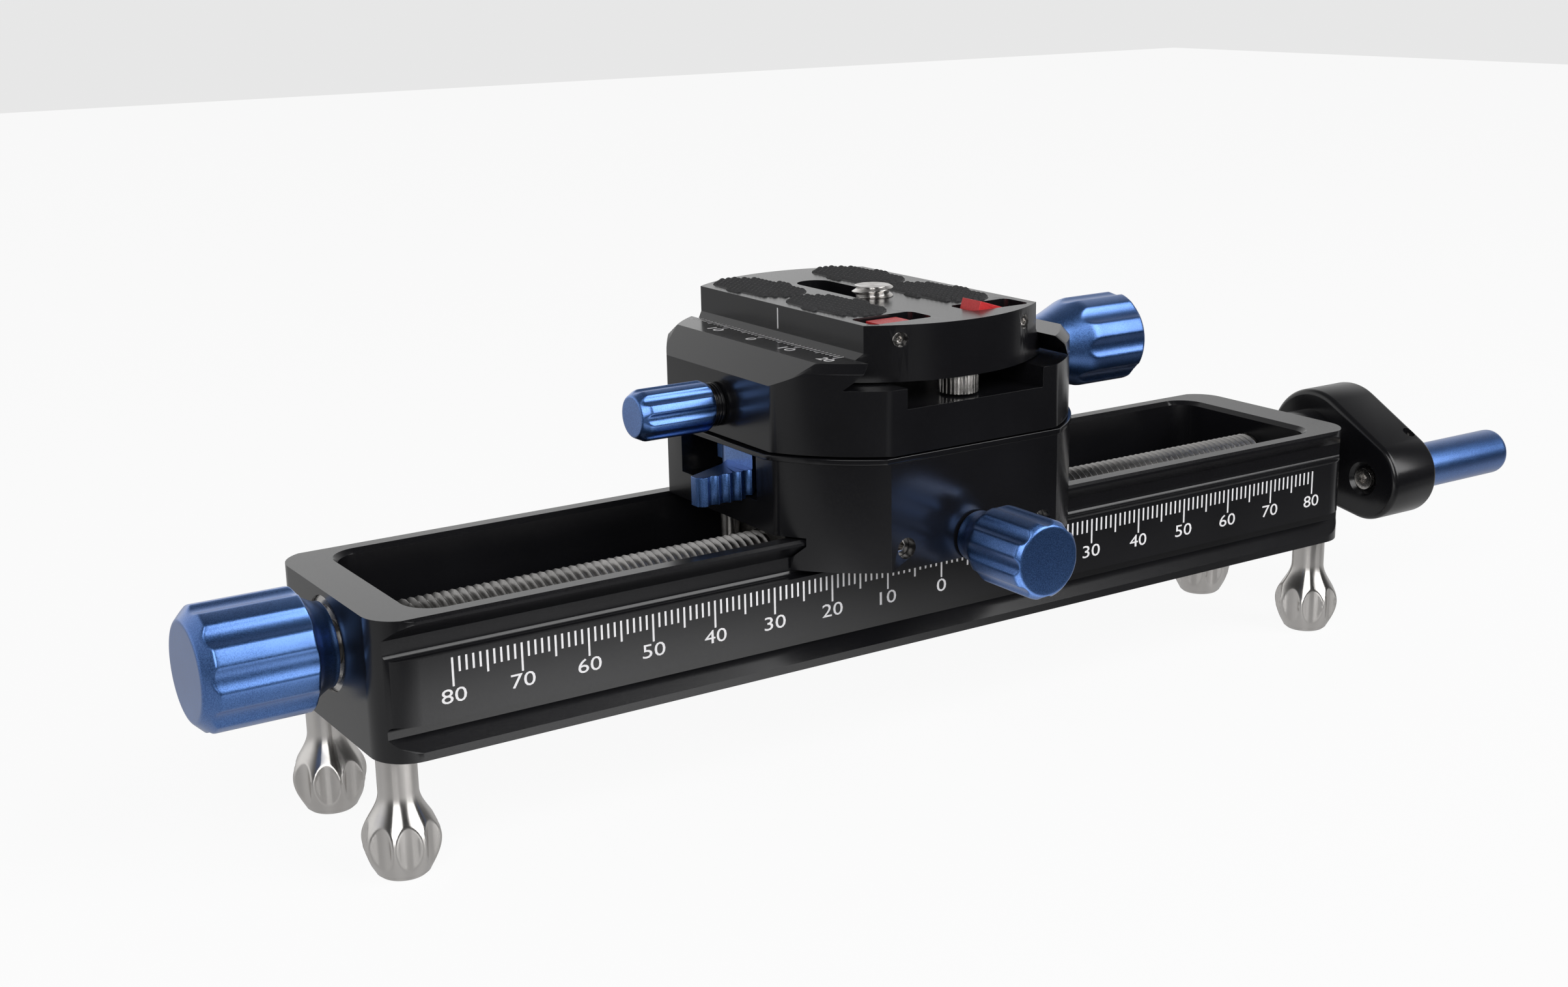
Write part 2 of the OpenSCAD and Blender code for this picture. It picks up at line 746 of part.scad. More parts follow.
// Shoulder screw that the crank handle turns on
module handle_axle_screw() {
    color(steel) difference() {
        union() {
            rod_x(crank_arm_x + seat_gap, crank_arm_x + axle_head_h, handle_y, handle_z,
                axle_head_d);
            rod_x(crank_arm_x + axle_head_h - over / 2, crank_arm_x + axle_l, handle_y, handle_z,
                axle_d);
        }
        translate([crank_arm_x - over, handle_y, handle_z]) rotate([0, 90, 0])
            cylinder(h = over + axle_head_h / 2, d = axle_head_d / 2, $fn = 6);
    }
}

module crank_handle() {
    color(blue) difference() {
        translate([handle_x, handle_y, handle_z]) rotate([0, 90, 0]) rotate_extrude()
            polygon([[0, 0], [handle_d / 2, 0], [handle_d / 2, handle_l - handle_bevel],
                [handle_d / 2 - handle_bevel, handle_l], [0, handle_l]]);
        rod_x(handle_x - over, crank_arm_x + axle_l + seat_gap, handle_y, handle_z,
            axle_d + 2 * run_gap);
    }
}

// Plan of a circle with four flats, of which the last one is x1 from the middle
module head_plan(r, x0, x1, y1) {
    intersection() {
        circle(r);
        translate([-x0, -y1]) square([x0 + x1, 2 * y1]);
    }
}

// Outline of the space for the rail under the carriage, with the hooks of its dovetail
module channel_outline() {
    z = rail_h + slide_gap;
    polygon([[-groove_half, carriage_z0 - over], [-groove_half, hook_low_z],
        [-channel_half, hook_high_z], [-channel_half, z], [channel_half, z],
        [channel_half, hook_high_z], [groove_half, hook_low_z], [groove_half, carriage_z0 - over]]);
}

// Outline of the gib strip, at the -Y side
module gib_outline() {
    inner = groove_half - gib_gap;
    polygon([[-inner, gib_z0], [-inner, hook_low_z], [-channel_half + (hook_high_z - gib_z1), gib_z1],
        [-channel_half - gib_t, gib_z1], [-channel_half - gib_t, gib_z0]]);
}

// Outline of the pocket for the gib strip, at the -Y side
module gib_pocket_outline() {
    y1 = -channel_half - gib_t - gib_gap;
    translate([y1, carriage_z0 - over])
        square([-groove_half + over - y1, gib_z1 - carriage_z0 + over + gib_gap]);
}

module carriage_body() {
    color(black) difference() {
        translate([0, 0, carriage_z0]) linear_extrude(carriage_z1 - carriage_z0)
            head_plan(head_r, flat_left, flat_left, flat_side);
        along_x(-head_r - over, head_r + over) channel_outline();
        along_x(-gib_half_l - gib_gap, gib_half_l + gib_gap) gib_pocket_outline();
        translate([-flat_left - over, -recess_w / 2, recess_z0])
            cube([recess_depth + over, recess_w, recess_h + over]);
        translate([lever_axis_x, 0, recess_z0 - lever_h + over])
            cylinder(h = lever_h, d = lever_pin_d + 2 * fit_gap);
        translate([guide_pin_x, guide_pin_y, rail_h])
            cylinder(h = carriage_h, d = guide_pin_d + 2 * run_gap);
        translate([nut_spring_x, 0, rail_h])
            cylinder(h = nut_spring_hole_h + slide_gap, d = nut_spring_d + 2 * slide_gap);
        translate([0, 0, carriage_z1 - post_sink])
            cylinder(h = post_sink + over, d = post_d + 2 * fit_gap);
        for (i = [0:turntable_screws_n - 1]) rotate(360 / turntable_screws_n * (i + 0.5))
            translate([turntable_screw_r, 0, turntable_z1 - turntable_screw_l - seat_gap])
                cylinder(h = turntable_screw_l + over, d = turntable_screw_d + 2 * fit_gap);
        rod_y(-flat_side - over, -half_w, 0, lock_z, lock_stud_d + 2 * run_gap);
        for (s = [-1, 1])
            rod_y(-flat_side - over, -half_w, s * set_screw_x, set_screw_z,
                set_screw_d + 2 * fit_gap);
    }
}

// Thin disc that the clamp turns on
module turntable_disc() {
    color(black) difference() {
        translate([0, 0, carriage_z1]) linear_extrude(turntable_t)
            head_plan(turntable_r, flat_left + turntable_lip, turntable_r, flat_side - seat_gap);
        translate([0, 0, carriage_z1 - over])
            cylinder(h = turntable_t + 2 * over, d = post_d + 2 * fit_gap);
        for (i = [0:turntable_screws_n - 1]) rotate(360 / turntable_screws_n * (i + 0.5))
            translate([turntable_screw_r, 0, carriage_z1 - over])
                cylinder(h = turntable_t + 2 * over, d = turntable_screw_head_d + 2 * fit_gap);
    }
}

// Flat-headed screws that hold the disc down
module turntable_screws() {
    color(steel) for (i = [0:turntable_screws_n - 1]) rotate(360 / turntable_screws_n * (i + 0.5))
        translate([turntable_screw_r, 0, 0]) difference() {
            union() {
                translate([0, 0, carriage_z1])
                    cylinder(h = turntable_t, d = turntable_screw_head_d);
                translate([0, 0, turntable_z1 - turntable_screw_l])
                    cylinder(h = turntable_screw_l, d = turntable_screw_d);
            }
            translate([0, 0, carriage_z1])
                cylinder(h = turntable_t + over, d = turntable_screw_d / 2, $fn = 6);
        }
}

// Pivot of the clamp, with a groove for the tip of its lock
module swivel_post() {
    color(steel) difference() {
        translate([0, 0, carriage_z1 - post_sink])
            cylinder(h = post_top_z - carriage_z1 + post_sink, d = post_d);
        translate([0, 0, swivel_z - post_groove_h / 2]) difference() {
            cylinder(h = post_groove_h, d = post_d + over);
            cylinder(h = post_groove_h, d = post_d - 2 * post_groove_depth);
        }
    }
}

// Adjustable strip that the lock knob presses on the rail's dovetail
module gib_strip() {
    color(brass) along_x(-gib_half_l, gib_half_l) gib_outline();
}

module gib_set_screws() {
    y1 = -channel_half - gib_t - seat_gap;
    color(steel) for (s = [-1, 1])
        translate([s * set_screw_x, y1, set_screw_z]) rotate([90, 0, 0])
            set_screw(set_screw_d, set_screw_l, set_screw_d / 2);
}

// Half nut, guided by its pin and pressed on the screw by its spring
module half_nut() {
    x1 = half_nut_x0 + half_nut_l;
    color(dark_steel) difference() {
        union() {
            translate([half_nut_x0, -half_nut_half_w, half_nut_z0])
                cube([half_nut_l, 2 * half_nut_half_w, half_nut_z1 - half_nut_z0]);
            translate([guide_pin_x, screw_d / 2 + run_gap, nut_ear_z0])
                cube([half_nut_x0 - guide_pin_x + half_nut_l / 2,
                    guide_pin_y + nut_ear_half - screw_d / 2 - run_gap, nut_ear_z1 - nut_ear_z0]);
            intersection() {
                translate([guide_pin_x, guide_pin_y, nut_ear_z0])
                    cylinder(h = nut_ear_z1 - nut_ear_z0, r = nut_ear_half);
                translate([guide_pin_x - over - nut_ear_half, screw_d / 2 + run_gap, nut_ear_z0])
                    cube([2 * nut_ear_half + over, 2 * nut_ear_half, nut_ear_z1 - nut_ear_z0]);
            }
        }
        rod_x(half_nut_x0 - over, x1 + over, 0, screw_z, screw_d + 2 * run_gap);
        translate([guide_pin_x, guide_pin_y, nut_ear_z0 - over])
            cylinder(h = rail_h, d = guide_pin_d + 2 * fit_gap);
    }
}

// Guide pin of the half nut, with the head that the lever lifts
module half_nut_pin() {
    color(steel) translate([guide_pin_x, guide_pin_y, 0]) {
        translate([0, 0, nut_ear_z0]) cylinder(h = recess_z0 + slide_gap - nut_ear_z0 + seat_gap,
            d = guide_pin_d);
        translate([0, 0, recess_z0 + slide_gap])
            cylinder(h = guide_pin_head_h, d = guide_pin_head_d);
    }
}

module half_nut_spring() {
    color(steel) translate([nut_spring_x, 0, half_nut_z1 + seat_gap]) difference() {
        cylinder(h = rail_h + nut_spring_hole_h - half_nut_z1 - seat_gap, d = nut_spring_d);
        translate([0, 0, -over])
            cylinder(h = carriage_h + 2 * over, d = nut_spring_d - 2 * nut_spring_wire);
    }
}

module lever_pin() {
    color(steel) translate([lever_axis_x, 0, recess_z0 - lever_h + over + seat_gap])
        cylinder(h = recess_h + lever_h - over - 2 * seat_gap, d = lever_pin_d);
}

// Plan of the lever's thumb piece, with its scalloped face towards -Y
module lever_plan() {
    tip_r = (lever_end_y - lever_face_y) / 2;
    difference() {
        polygon(concat(arc([lever_tip_x + tip_r, lever_face_y + tip_r], tip_r, 180, 270, 6),
            [[lever_root_x, lever_face_y], [lever_axis_x, over - lever_hub_d / 2],
                [lever_axis_x, lever_hub_d / 2 - over], [lever_back_x, lever_back_y],
                [lever_tip_x, lever_end_y]]));
        for (i = [0:lever_scallops - 1])
            translate([lever_tip_x + tip_r + lever_scallop_start + lever_scallop_pitch * i,
                lever_face_y - lever_scallop_r / 2]) circle(lever_scallop_r);
    }
}

module release_lever() {
    color(blue) difference() {
        union() {
            translate([0, 0, lever_z0]) linear_extrude(lever_hub_z1 - lever_z0) lever_plan();
            translate([lever_axis_x, 0, lever_hub_z0])
                cylinder(h = lever_hub_z1 - lever_hub_z0, d = lever_hub_d);
            translate([lever_axis_x, 0, lever_finger_z0]) rotate(lever_finger_angle)
                translate([0, -lever_finger_w / 2, 0])
                    cube([lever_finger_r, lever_finger_w, lever_finger_t]);
        }
        translate([-flat_left - slide_gap, -recess_w / 2, lever_z0 - over])
            cube([recess_depth + over, recess_w, lever_hub_z0 - lever_z0 + over]);
        translate([lever_tip_x - over, -recess_w / 2, lever_z1])
            cube([lever_reach - lever_axis_inset + 2 * over, recess_w, recess_h]);
        translate([lever_axis_x, 0, lever_z0 - over])
            cylinder(h = recess_h + 2 * over, d = lever_pin_d + 2 * run_gap);
    }
}

// Stud of the carriage's lock knob
module lock_stud() {
    color(steel)
        rod_y(-flat_side - lock_knob_l + lock_blind, -channel_half - gib_t - seat_gap, 0, lock_z,
            lock_stud_d);
}

module lock_knob() {
    color(blue) translate([0, -flat_side - slide_gap, lock_z]) rotate([90, 0, 0])
        turned_knob(lock_neck_d, lock_neck_l, lock_cone_l, lock_knob_d, lock_knob_l,
            lock_bevel_l, lock_face_d, lock_knob_flutes, lock_stud_d + 2 * fit_gap,
            lock_blind - seat_gap);
}

// Solid of the clamp's head, with its bevelled top edge
module head_solid(z0, z1, bevel) {
    intersection() {
        rotate_extrude() polygon([[0, z0], [clamp_r, z0], [clamp_r, z1 - bevel],
            [clamp_r - bevel, z1], [0, z1]]);
        translate([-flat_left, -flat_side, z0])
            cube([flat_left + flat_right, 2 * flat_side, z1 - z0]);
    }
}

// Outline in X and Z of the dovetail space between the jaws
module dovetail_outline() {
    polygon([[-jaw_foot_x, shoulder_z], [-nose_x, jaw_z1], [-nose_x, jaw_z1 + over],
        [nose_x, jaw_z1 + over], [nose_x, jaw_z1], [jaw_foot_x, shoulder_z]]);
}

module clamp_base() {
    color(black) difference() {
        head_solid(base_z0, jaw_z1, end_bevel);
        along_y(-head_r - over, head_r + over) {
            dovetail_outline();
            translate([-pocket_half, pocket_z]) square([2 * pocket_half, jaw_z1]);
            translate([0, shoulder_z]) square([head_r, jaw_z1]);
            polygon([[-flat_left, jaw_z1 - facet_h], [-flat_left + facet_x, jaw_z1],
                [-flat_left + facet_x, jaw_z1 + over], [-flat_left - over, jaw_z1 + over],
                [-flat_left - over, jaw_z1 - facet_h]]);
        }
        translate([leg_x0 - slide_gap, -leg_half - slide_gap, leg_z0 - slide_gap])
            cube([head_r, 2 * (leg_half + slide_gap), jaw_z1]);
        translate([0, 0, base_z0 - over])
            cylinder(h = pocket_z - base_z0 + 2 * over, d = post_d + 2 * run_gap);
        rod_x(-flat_left - over, 0, 0, swivel_z, swivel_stud_d + 2 * run_gap);
        rod_x(clamp_screw_tip_x - slide_gap, head_r, 0, clamp_z, clamp_screw_d + 2 * run_gap);
        for (s = [-1, 1]) {
            rod_x(jaw_pin_x0, head_r, s * jaw_pin_y, clamp_z, jaw_pin_d + 2 * fit_gap);
            rod_x(jaw_spring_x0, head_r, s * jaw_pin_y, clamp_z, jaw_spring_d + 2 * run_gap);
        }
    }
}

// Stud and plug that lock the swivel
swivel_plug_x1 = -post_d / 2 + post_groove_depth / 2;
swivel_plug_x0 = swivel_plug_x1 - swivel_plug_l;
module swivel_plug() {
    color(brass) intersection() {
        rod_x(swivel_plug_x0, swivel_plug_x1, 0, swivel_z, swivel_stud_d);
        translate([swivel_plug_x0, 0, swivel_z]) rotate([0, 90, 0])
            cylinder(h = swivel_plug_l, d1 = swivel_stud_d + swivel_plug_l,
                d2 = swivel_stud_d - 2 * post_groove_depth);
    }
}

module swivel_stud() {
    color(steel)
        rod_x(-flat_left - swivel_collar_l - swivel_knob_l + swivel_blind,
            swivel_plug_x0 - seat_gap, 0, swivel_z, swivel_stud_d);
}

// Grooved black collar between the swivel's lock knob and the clamp
swivel_collar_groove = 0.35;
swivel_collar_groove_w = 0.3;
module swivel_collar() {
    r = swivel_collar_d / 2;
    color(black) difference() {
        rod_x(-flat_left - swivel_collar_l, -flat_left - slide_gap, 0, swivel_z,
            swivel_collar_d);
        rod_x(-flat_left - swivel_collar_l - over, 0, 0, swivel_z, swivel_stud_d + 2 * fit_gap);
        for (i = [1, 2])
            translate([-flat_left - slide_gap - i * swivel_collar_l / 4, 0, swivel_z])
                rotate([0, -90, 0]) difference() {
                    cylinder(h = swivel_collar_groove_w, r = r + over);
                    cylinder(h = swivel_collar_groove_w, r = r - swivel_collar_groove);
                }
    }
}

module swivel_lock_knob() {
    x0 = -flat_left - swivel_collar_l - seat_gap;
    color(blue) translate([x0, 0, swivel_z]) rotate([0, -90, 0])
        turned_knob(swivel_knob_d - handle_bevel, 0, handle_bevel, swivel_knob_d,
            swivel_knob_l, swivel_bevel_l, swivel_face_d, swivel_knob_flutes,
            swivel_stud_d + 2 * fit_gap, swivel_blind - seat_gap);
}

module moving_jaw() {
    color(black) difference() {
        intersection() {
            head_solid(leg_z0, jaw_z1, end_bevel);
            along_y(-head_r - over, head_r + over)
                polygon([[nose_x, jaw_z1], [jaw_foot_x, shoulder_z], [leg_x0, shoulder_z],
                    [leg_x0, leg_z0], [head_r, leg_z0], [head_r, jaw_z1]]);
        }
        for (s = [0, 1]) mirror([0, s, 0])
            translate([nose_x - over, leg_half, leg_z0 - over])
                cube([head_r, head_r, jaw_split_z - leg_z0 + over]);
        rod_x(leg_x0 - over, head_r, 0, clamp_z, clamp_screw_d + 2 * run_gap);
        for (s = [-1, 1])
            rod_x(leg_x0 - over, jaw_pin_x1 + seat_gap, s * jaw_pin_y, clamp_z,
                jaw_pin_d + 2 * run_gap);
    }
}

module jaw_guide_pins() {
    color(steel) for (s = [-1, 1])
        rod_x(jaw_pin_x0, jaw_pin_x1, s * jaw_pin_y, clamp_z, jaw_pin_d);
}

module jaw_springs() {
    color(steel) for (s = [-1, 1]) difference() {
        rod_x(jaw_spring_x0, leg_x0 - slide_gap, s * jaw_pin_y, clamp_z, jaw_spring_d);
        rod_x(jaw_spring_x0 - over, leg_x0 + over, s * jaw_pin_y, clamp_z,
            jaw_spring_d - 2 * jaw_spring_wire);
    }
}

module clamp_screw() {
    color(steel)
        rod_x(clamp_screw_tip_x, flat_right + clamp_knob_l - clamp_blind, 0, clamp_z,
            clamp_screw_d);
}

module clamp_knob() {
    color(blue) translate([flat_right + slide_gap, 0, clamp_z]) rotate([0, 90, 0])
        turned_knob(clamp_neck_d, clamp_neck_l, clamp_cone_l, clamp_knob_d, clamp_knob_l,
            clamp_bevel_l, clamp_knob_d - 2 * clamp_bevel_l, clamp_knob_flutes,
            clamp_screw_d + 2 * fit_gap, clamp_blind - seat_gap);
}

// Plan of the plate: two arcs of one radius, drawn apart by the extra length
module plate_plan(grow) {
    circle(plate_end_r + grow);
    translate([0, plate_extra_l]) circle(plate_end_r + grow);
}

module plate_section() {
    w = plate_w / 2;
    polygon([[-w, plate_z0], [w, plate_z0], [w, plate_slope_z],
        [w - plate_slope, plate_slope_z + plate_slope], [w - plate_slope, plate_z1],
        [-w + plate_slope, plate_z1], [-w + plate_slope, plate_slope_z + plate_slope],
        [-w, plate_slope_z]]);
}

// Straight slot with round ends, from y0 along +Y
module slot_plan(w) {
    translate([0, slot_y0]) circle(d = w);
    translate([0, slot_y0 + slot_l]) circle(d = w);
    translate([-w / 2, slot_y0]) square([w, slot_l]);
}

// Outline of a rubber pad: a long oval with flat sides
module pad_outline(gap) {
    polygon([for (i = [0:pad_points - 1]) let (a = 360 * i / pad_points, c = cos(a), s = sin(a))
        [(pad_w / 2 + gap) * sign(c) * pow(abs(c), 2 / pad_power),
         (pad_l / 2 + gap) * sign(s) * pow(abs(s), 2 / pad_power)]]);
}

module at_pads() {
    for (sx = [-1, 1], y = [pad_near_y, pad_far_y]) translate([sx * pad_x, y, 0]) children();
}

module stop_pocket(x0) {
    translate([x0 + stop_pocket_l / 2, stop_pocket_y0 + stop_pocket_w / 2,
        plate_z1 - stop_pocket_depth]) linear_extrude(stop_pocket_depth + over)
        round_rect(stop_pocket_l, stop_pocket_w, stop_pocket_r);
}

module quick_release_plate() {
    color(black) difference() {
        intersection() {
            along_y(-head_r, head_r) plate_section();
            translate([0, 0, plate_z0]) linear_extrude(plate_t) plate_plan(0);
        }
        translate([0, 0, plate_z0 - over]) linear_extrude(plate_t + 2 * over) slot_plan(slot_w);
        translate([0, 0, plate_z0 - over]) linear_extrude(slot_sink_h + over)
            slot_plan(slot_sink_w);
        at_pads() translate([0, 0, plate_z1 - pad_sink]) linear_extrude(pad_sink + over)
            pad_outline(fit_gap);
        stop_pocket(stop_pocket_x0);
        stop_pocket(-stop_pocket_x0 - stop_pocket_l);
        for (x = [left_stop_x, right_stop_x])
            rod_y(stop_pin_y0, stop_pin_y0 + stop_pin_l, x, stop_z, stop_pin_d + 2 * fit_gap);
        for (s = [-1, 1])
            rod_y(-plate_end_r - over, plate_screw_y1, s * plate_screw_x, plate_screw_z,
                plate_screw_d + 2 * fit_gap);
        translate([0, stop_screw_y, plate_z0 - over])
            cylinder(h = stop_screw_shank_l + over + seat_gap, d = stop_screw_shank_d + 2 * fit_gap);
    }
}

module rubber_pads() {
    color(rubber) at_pads() translate([0, 0, plate_z1 - pad_sink])
        linear_extrude(pad_sink + pad_proud) pad_outline(0);
}

// Small set screws in the plate's curved end
module plate_set_screws() {
    y1 = plate_screw_y1 - seat_gap;
    color(steel) for (s = [-1, 1]) translate([s * plate_screw_x, y1, plate_screw_z])
        rotate([90, 0, 0]) set_screw(plate_screw_d, plate_screw_l, plate_screw_d / 2);
}

// Knurled screw under the plate that keeps it from sliding out
module plate_stop_screw() {
    r = stop_screw_d / 2;
    color(steel) translate([0, stop_screw_y, 0]) {
        difference() {
            translate([0, 0, plate_z0 - stop_screw_h]) cylinder(h = stop_screw_h, r = r);
            for (i = [0:stop_screw_teeth - 1]) rotate(360 / stop_screw_teeth * i)
                translate([r, 0, plate_z0 - stop_screw_h - over])
                    cylinder(h = stop_screw_h + 2 * over, r = stop_screw_tooth_r);
        }
        translate([0, 0, plate_z0 - over / 2])
            cylinder(h = stop_screw_shank_l + over / 2, d = stop_screw_shank_d);
    }
}

// Washer that slides under the slot with the camera screw
module screw_washer() {
    color(steel) translate([0, slot_y0, washer_z0]) difference() {
        cylinder(h = washer_t, d = camera_head_d);
        translate([0, 0, -over]) cylinder(h = washer_t + 2 * over, d = camera_neck_d + 2 * run_gap);
    }
}

module camera_screw() {
    z0 = plate_z0 + camera_head_gap;
    color(steel) translate([0, slot_y0, 0]) difference() {
        union() {
            translate([0, 0, z0]) cylinder(h = camera_head_h, d = camera_head_d);
            translate([0, 0, z0]) cylinder(h = plate_z1 + seat_gap - z0, d = camera_neck_d);
            translate([0, 0, plate_z1 + seat_gap])
                cylinder(h = camera_top - seat_gap, d = camera_screw_d);
        }
        translate([-camera_head_d, -camera_slot_w / 2, z0 - over])
            cube([2 * camera_head_d, camera_slot_w, camera_slot_h + over]);
    }
}

// Spring stop that folds into the plate, pivoted at the origin and reaching to -X
module stop_body(x, raise) {
    y0 = stop_pocket_y0 + (stop_pocket_w - stop_w) / 2;
    color(red) translate([x, 0, stop_z]) rotate([0, raise, 0]) difference() {
        along_y(y0, y0 + stop_w) {
            circle(stop_boss_r);
            polygon([[0, stop_boss_r], [-stop_l, stop_boss_r],
                [-stop_l, stop_boss_r - stop_end_h], [0, -stop_boss_r]]);
        }
        rod_y(y0 - over, y0 + stop_w + over, 0, 0, stop_pin_d + 2 * run_gap);
    }
}

module left_stop() {
    stop_body(left_stop_x, 0);
}

module right_stop() {
    stop_body(right_stop_x, stop_raise);
}

module stop_pin(x) {
    color(steel) rod_y(stop_pin_y0 + seat_gap, stop_pin_y0 + stop_pin_l - seat_gap, x, stop_z,
        stop_pin_d);
}

module left_stop_pin() {
    stop_pin(left_stop_x);
}

module right_stop_pin() {
    stop_pin(right_stop_x);
}

rail_body();
tripod_bush();
fine_bearing();
crank_bearing();
retaining_rings();
foot_front_left();
foot_front_right();
foot_back_left();
foot_back_right();
lead_screw();
fine_knob();
crank_arm();
grub_screws();
handle_axle_screw();
crank_handle();
carriage_body();
turntable_disc();
turntable_screws();
swivel_post();
gib_strip();
gib_set_screws();
half_nut();
half_nut_pin();
half_nut_spring();
lever_pin();
release_lever();
lock_stud();
lock_knob();
clamp_base();
swivel_stud();
swivel_plug();
swivel_collar();
swivel_lock_knob();
moving_jaw();
jaw_guide_pins();
jaw_springs();
clamp_screw();
clamp_knob();
quick_release_plate();
rubber_pads();
plate_set_screws();
plate_stop_screw();
screw_washer();
camera_screw();
left_stop();
right_stop();
left_stop_pin();
right_stop_pin();
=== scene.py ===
import math

import bmesh
import bpy
from mathutils import Matrix, Vector


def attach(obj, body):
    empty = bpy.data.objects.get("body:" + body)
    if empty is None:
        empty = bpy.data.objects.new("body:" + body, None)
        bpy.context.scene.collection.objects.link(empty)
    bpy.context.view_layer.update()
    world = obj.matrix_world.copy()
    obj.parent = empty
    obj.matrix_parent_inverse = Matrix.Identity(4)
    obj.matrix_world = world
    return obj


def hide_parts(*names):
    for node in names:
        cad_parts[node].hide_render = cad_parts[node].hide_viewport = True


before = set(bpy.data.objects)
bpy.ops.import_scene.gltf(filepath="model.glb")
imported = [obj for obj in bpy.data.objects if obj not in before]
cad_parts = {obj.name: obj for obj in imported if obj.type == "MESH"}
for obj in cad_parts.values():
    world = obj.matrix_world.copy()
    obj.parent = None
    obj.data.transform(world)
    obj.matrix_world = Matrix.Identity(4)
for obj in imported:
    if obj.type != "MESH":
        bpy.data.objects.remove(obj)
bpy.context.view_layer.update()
scene = bpy.context.scene
scene.view_settings.view_transform = "Standard"

# Sizes are in millimetres and angles in degrees, unless a comment says otherwise
MM = 0.001
TURN = 2 * math.pi
QUARTER = 90

RAIL_W = 38.0
SCREW_Z = 12.0
SCREW_END_X = 90.3
PLATE_TOP = 50.1


def degrees(value):
    return value * math.pi / 180


# Camera, solved from the engraved scale
PHOTO_W = 2408
FOCAL_PX = 3095.846
SENSOR = 36.0
CAMERA_AT = Vector((-177.846, -250.91, 101.76))
CAMERA_YAW = degrees(-32.852)
CAMERA_PITCH = degrees(15.135)
CAMERA_ROLL = degrees(-1.049)
CLIP_START_M, CLIP_END_M = 0.01, 20


def make_camera():
    data = bpy.data.cameras.new("camera")
    data.sensor_width = SENSOR
    data.lens = FOCAL_PX * SENSOR / PHOTO_W
    data.clip_start = CLIP_START_M
    data.clip_end = CLIP_END_M
    camera = bpy.data.objects.new("camera", data)
    scene.collection.objects.link(camera)
    back = Vector((math.sin(CAMERA_YAW) * math.cos(CAMERA_PITCH),
                   -math.cos(CAMERA_YAW) * math.cos(CAMERA_PITCH), math.sin(CAMERA_PITCH)))
    right = (-back).cross(Vector((0, 0, 1))).normalized()
    up = right.cross(-back)
    x_axis = math.cos(CAMERA_ROLL) * right + math.sin(CAMERA_ROLL) * up
    y_axis = -math.sin(CAMERA_ROLL) * right + math.cos(CAMERA_ROLL) * up
    place = Matrix((x_axis, y_axis, back)).transposed().to_4x4()
    place.translation = CAMERA_AT * MM
    camera.matrix_world = place
    scene.camera = camera


# Materials
class Tree:
    """A material's nodes, with short calls for the ones used here."""

    def __init__(self, name):
        self.material = bpy.data.materials.new(name)
        self.material.use_nodes = True
        self.nodes = self.material.node_tree.nodes
        self.links = self.material.node_tree.links
        self.shader = self.nodes["Principled BSDF"]
        self.place = self.nodes.new("ShaderNodeTexCoord").outputs["Object"]

    def stretched(self, scale):
        mapping = self.nodes.new("ShaderNodeMapping")
        mapping.inputs["Scale"].default_value = scale
        self.links.new(self.place, mapping.inputs["Vector"])
        return mapping.outputs["Vector"]

    def noise(self, scale, detail, stretch=None):
        node = self.nodes.new("ShaderNodeTexNoise")
        node.inputs["Scale"].default_value = scale
        node.inputs["Detail"].default_value = detail
        self.links.new(self.stretched(stretch) if stretch else self.place, node.inputs["Vector"])
        return node.outputs["Fac"]

    def mapped(self, value, low, high, out_low, out_high):
        node = self.nodes.new("ShaderNodeMapRange")
        for name, number in (("From Min", low), ("From Max", high),
                             ("To Min", out_low), ("To Max", out_high)):
            node.inputs[name].default_value = number
        self.links.new(value, node.inputs["Value"])
        return node.outputs["Result"]

    def mixed(self, factor, first, second):
        node = self.nodes.new("ShaderNodeMix")
        node.data_type = "RGBA"
        node.inputs["A"].default_value = (*first, 1)
        node.inputs["B"].default_value = (*second, 1)
        self.links.new(factor, node.inputs["Factor"])
        return node.outputs["Result"]

    def added(self, first, second):
        node = self.nodes.new("ShaderNodeMath")
        node.operation = "ADD"
        self.links.new(first, node.inputs[0])
        self.links.new(second, node.inputs[1])
        return node.outputs["Value"]

    def turned_about_z(self):
        node = self.nodes.new("ShaderNodeTangent")
        node.direction_type = "RADIAL"
        node.axis = "Z"
        self.links.new(node.outputs["Tangent"], self.shader.inputs["Tangent"])

    def bumped(self, height, strength, distance):
        node = self.nodes.new("ShaderNodeBump")
        node.inputs["Strength"].default_value = strength
        node.inputs["Distance"].default_value = distance
        self.links.new(height, node.inputs["Height"])
        self.links.new(node.outputs["Normal"], self.shader.inputs["Normal"])

    def drive(self, **inputs):
        for name, value in inputs.items():
            self.links.new(value, self.shader.inputs[name.replace("_", " ")])

    def fixed(self, values):
        for name, value in values.items():
            self.shader.inputs[name.replace("_", " ")].default_value = value


# Noise in each finish: its scale per metre or size, its detail, and the values that are used
TONE_SCALE, TONE_DETAIL = 60.0, 3.0
GRAIN_DETAIL = 2.0
NOISE_LOW, NOISE_HIGH = 0.3, 0.7
SPECKLE_MM, SPECKLE_DETAIL = 0.16, 1.0
SPECKLE_LOW, SPECKLE_HIGH = 0.35, 0.65


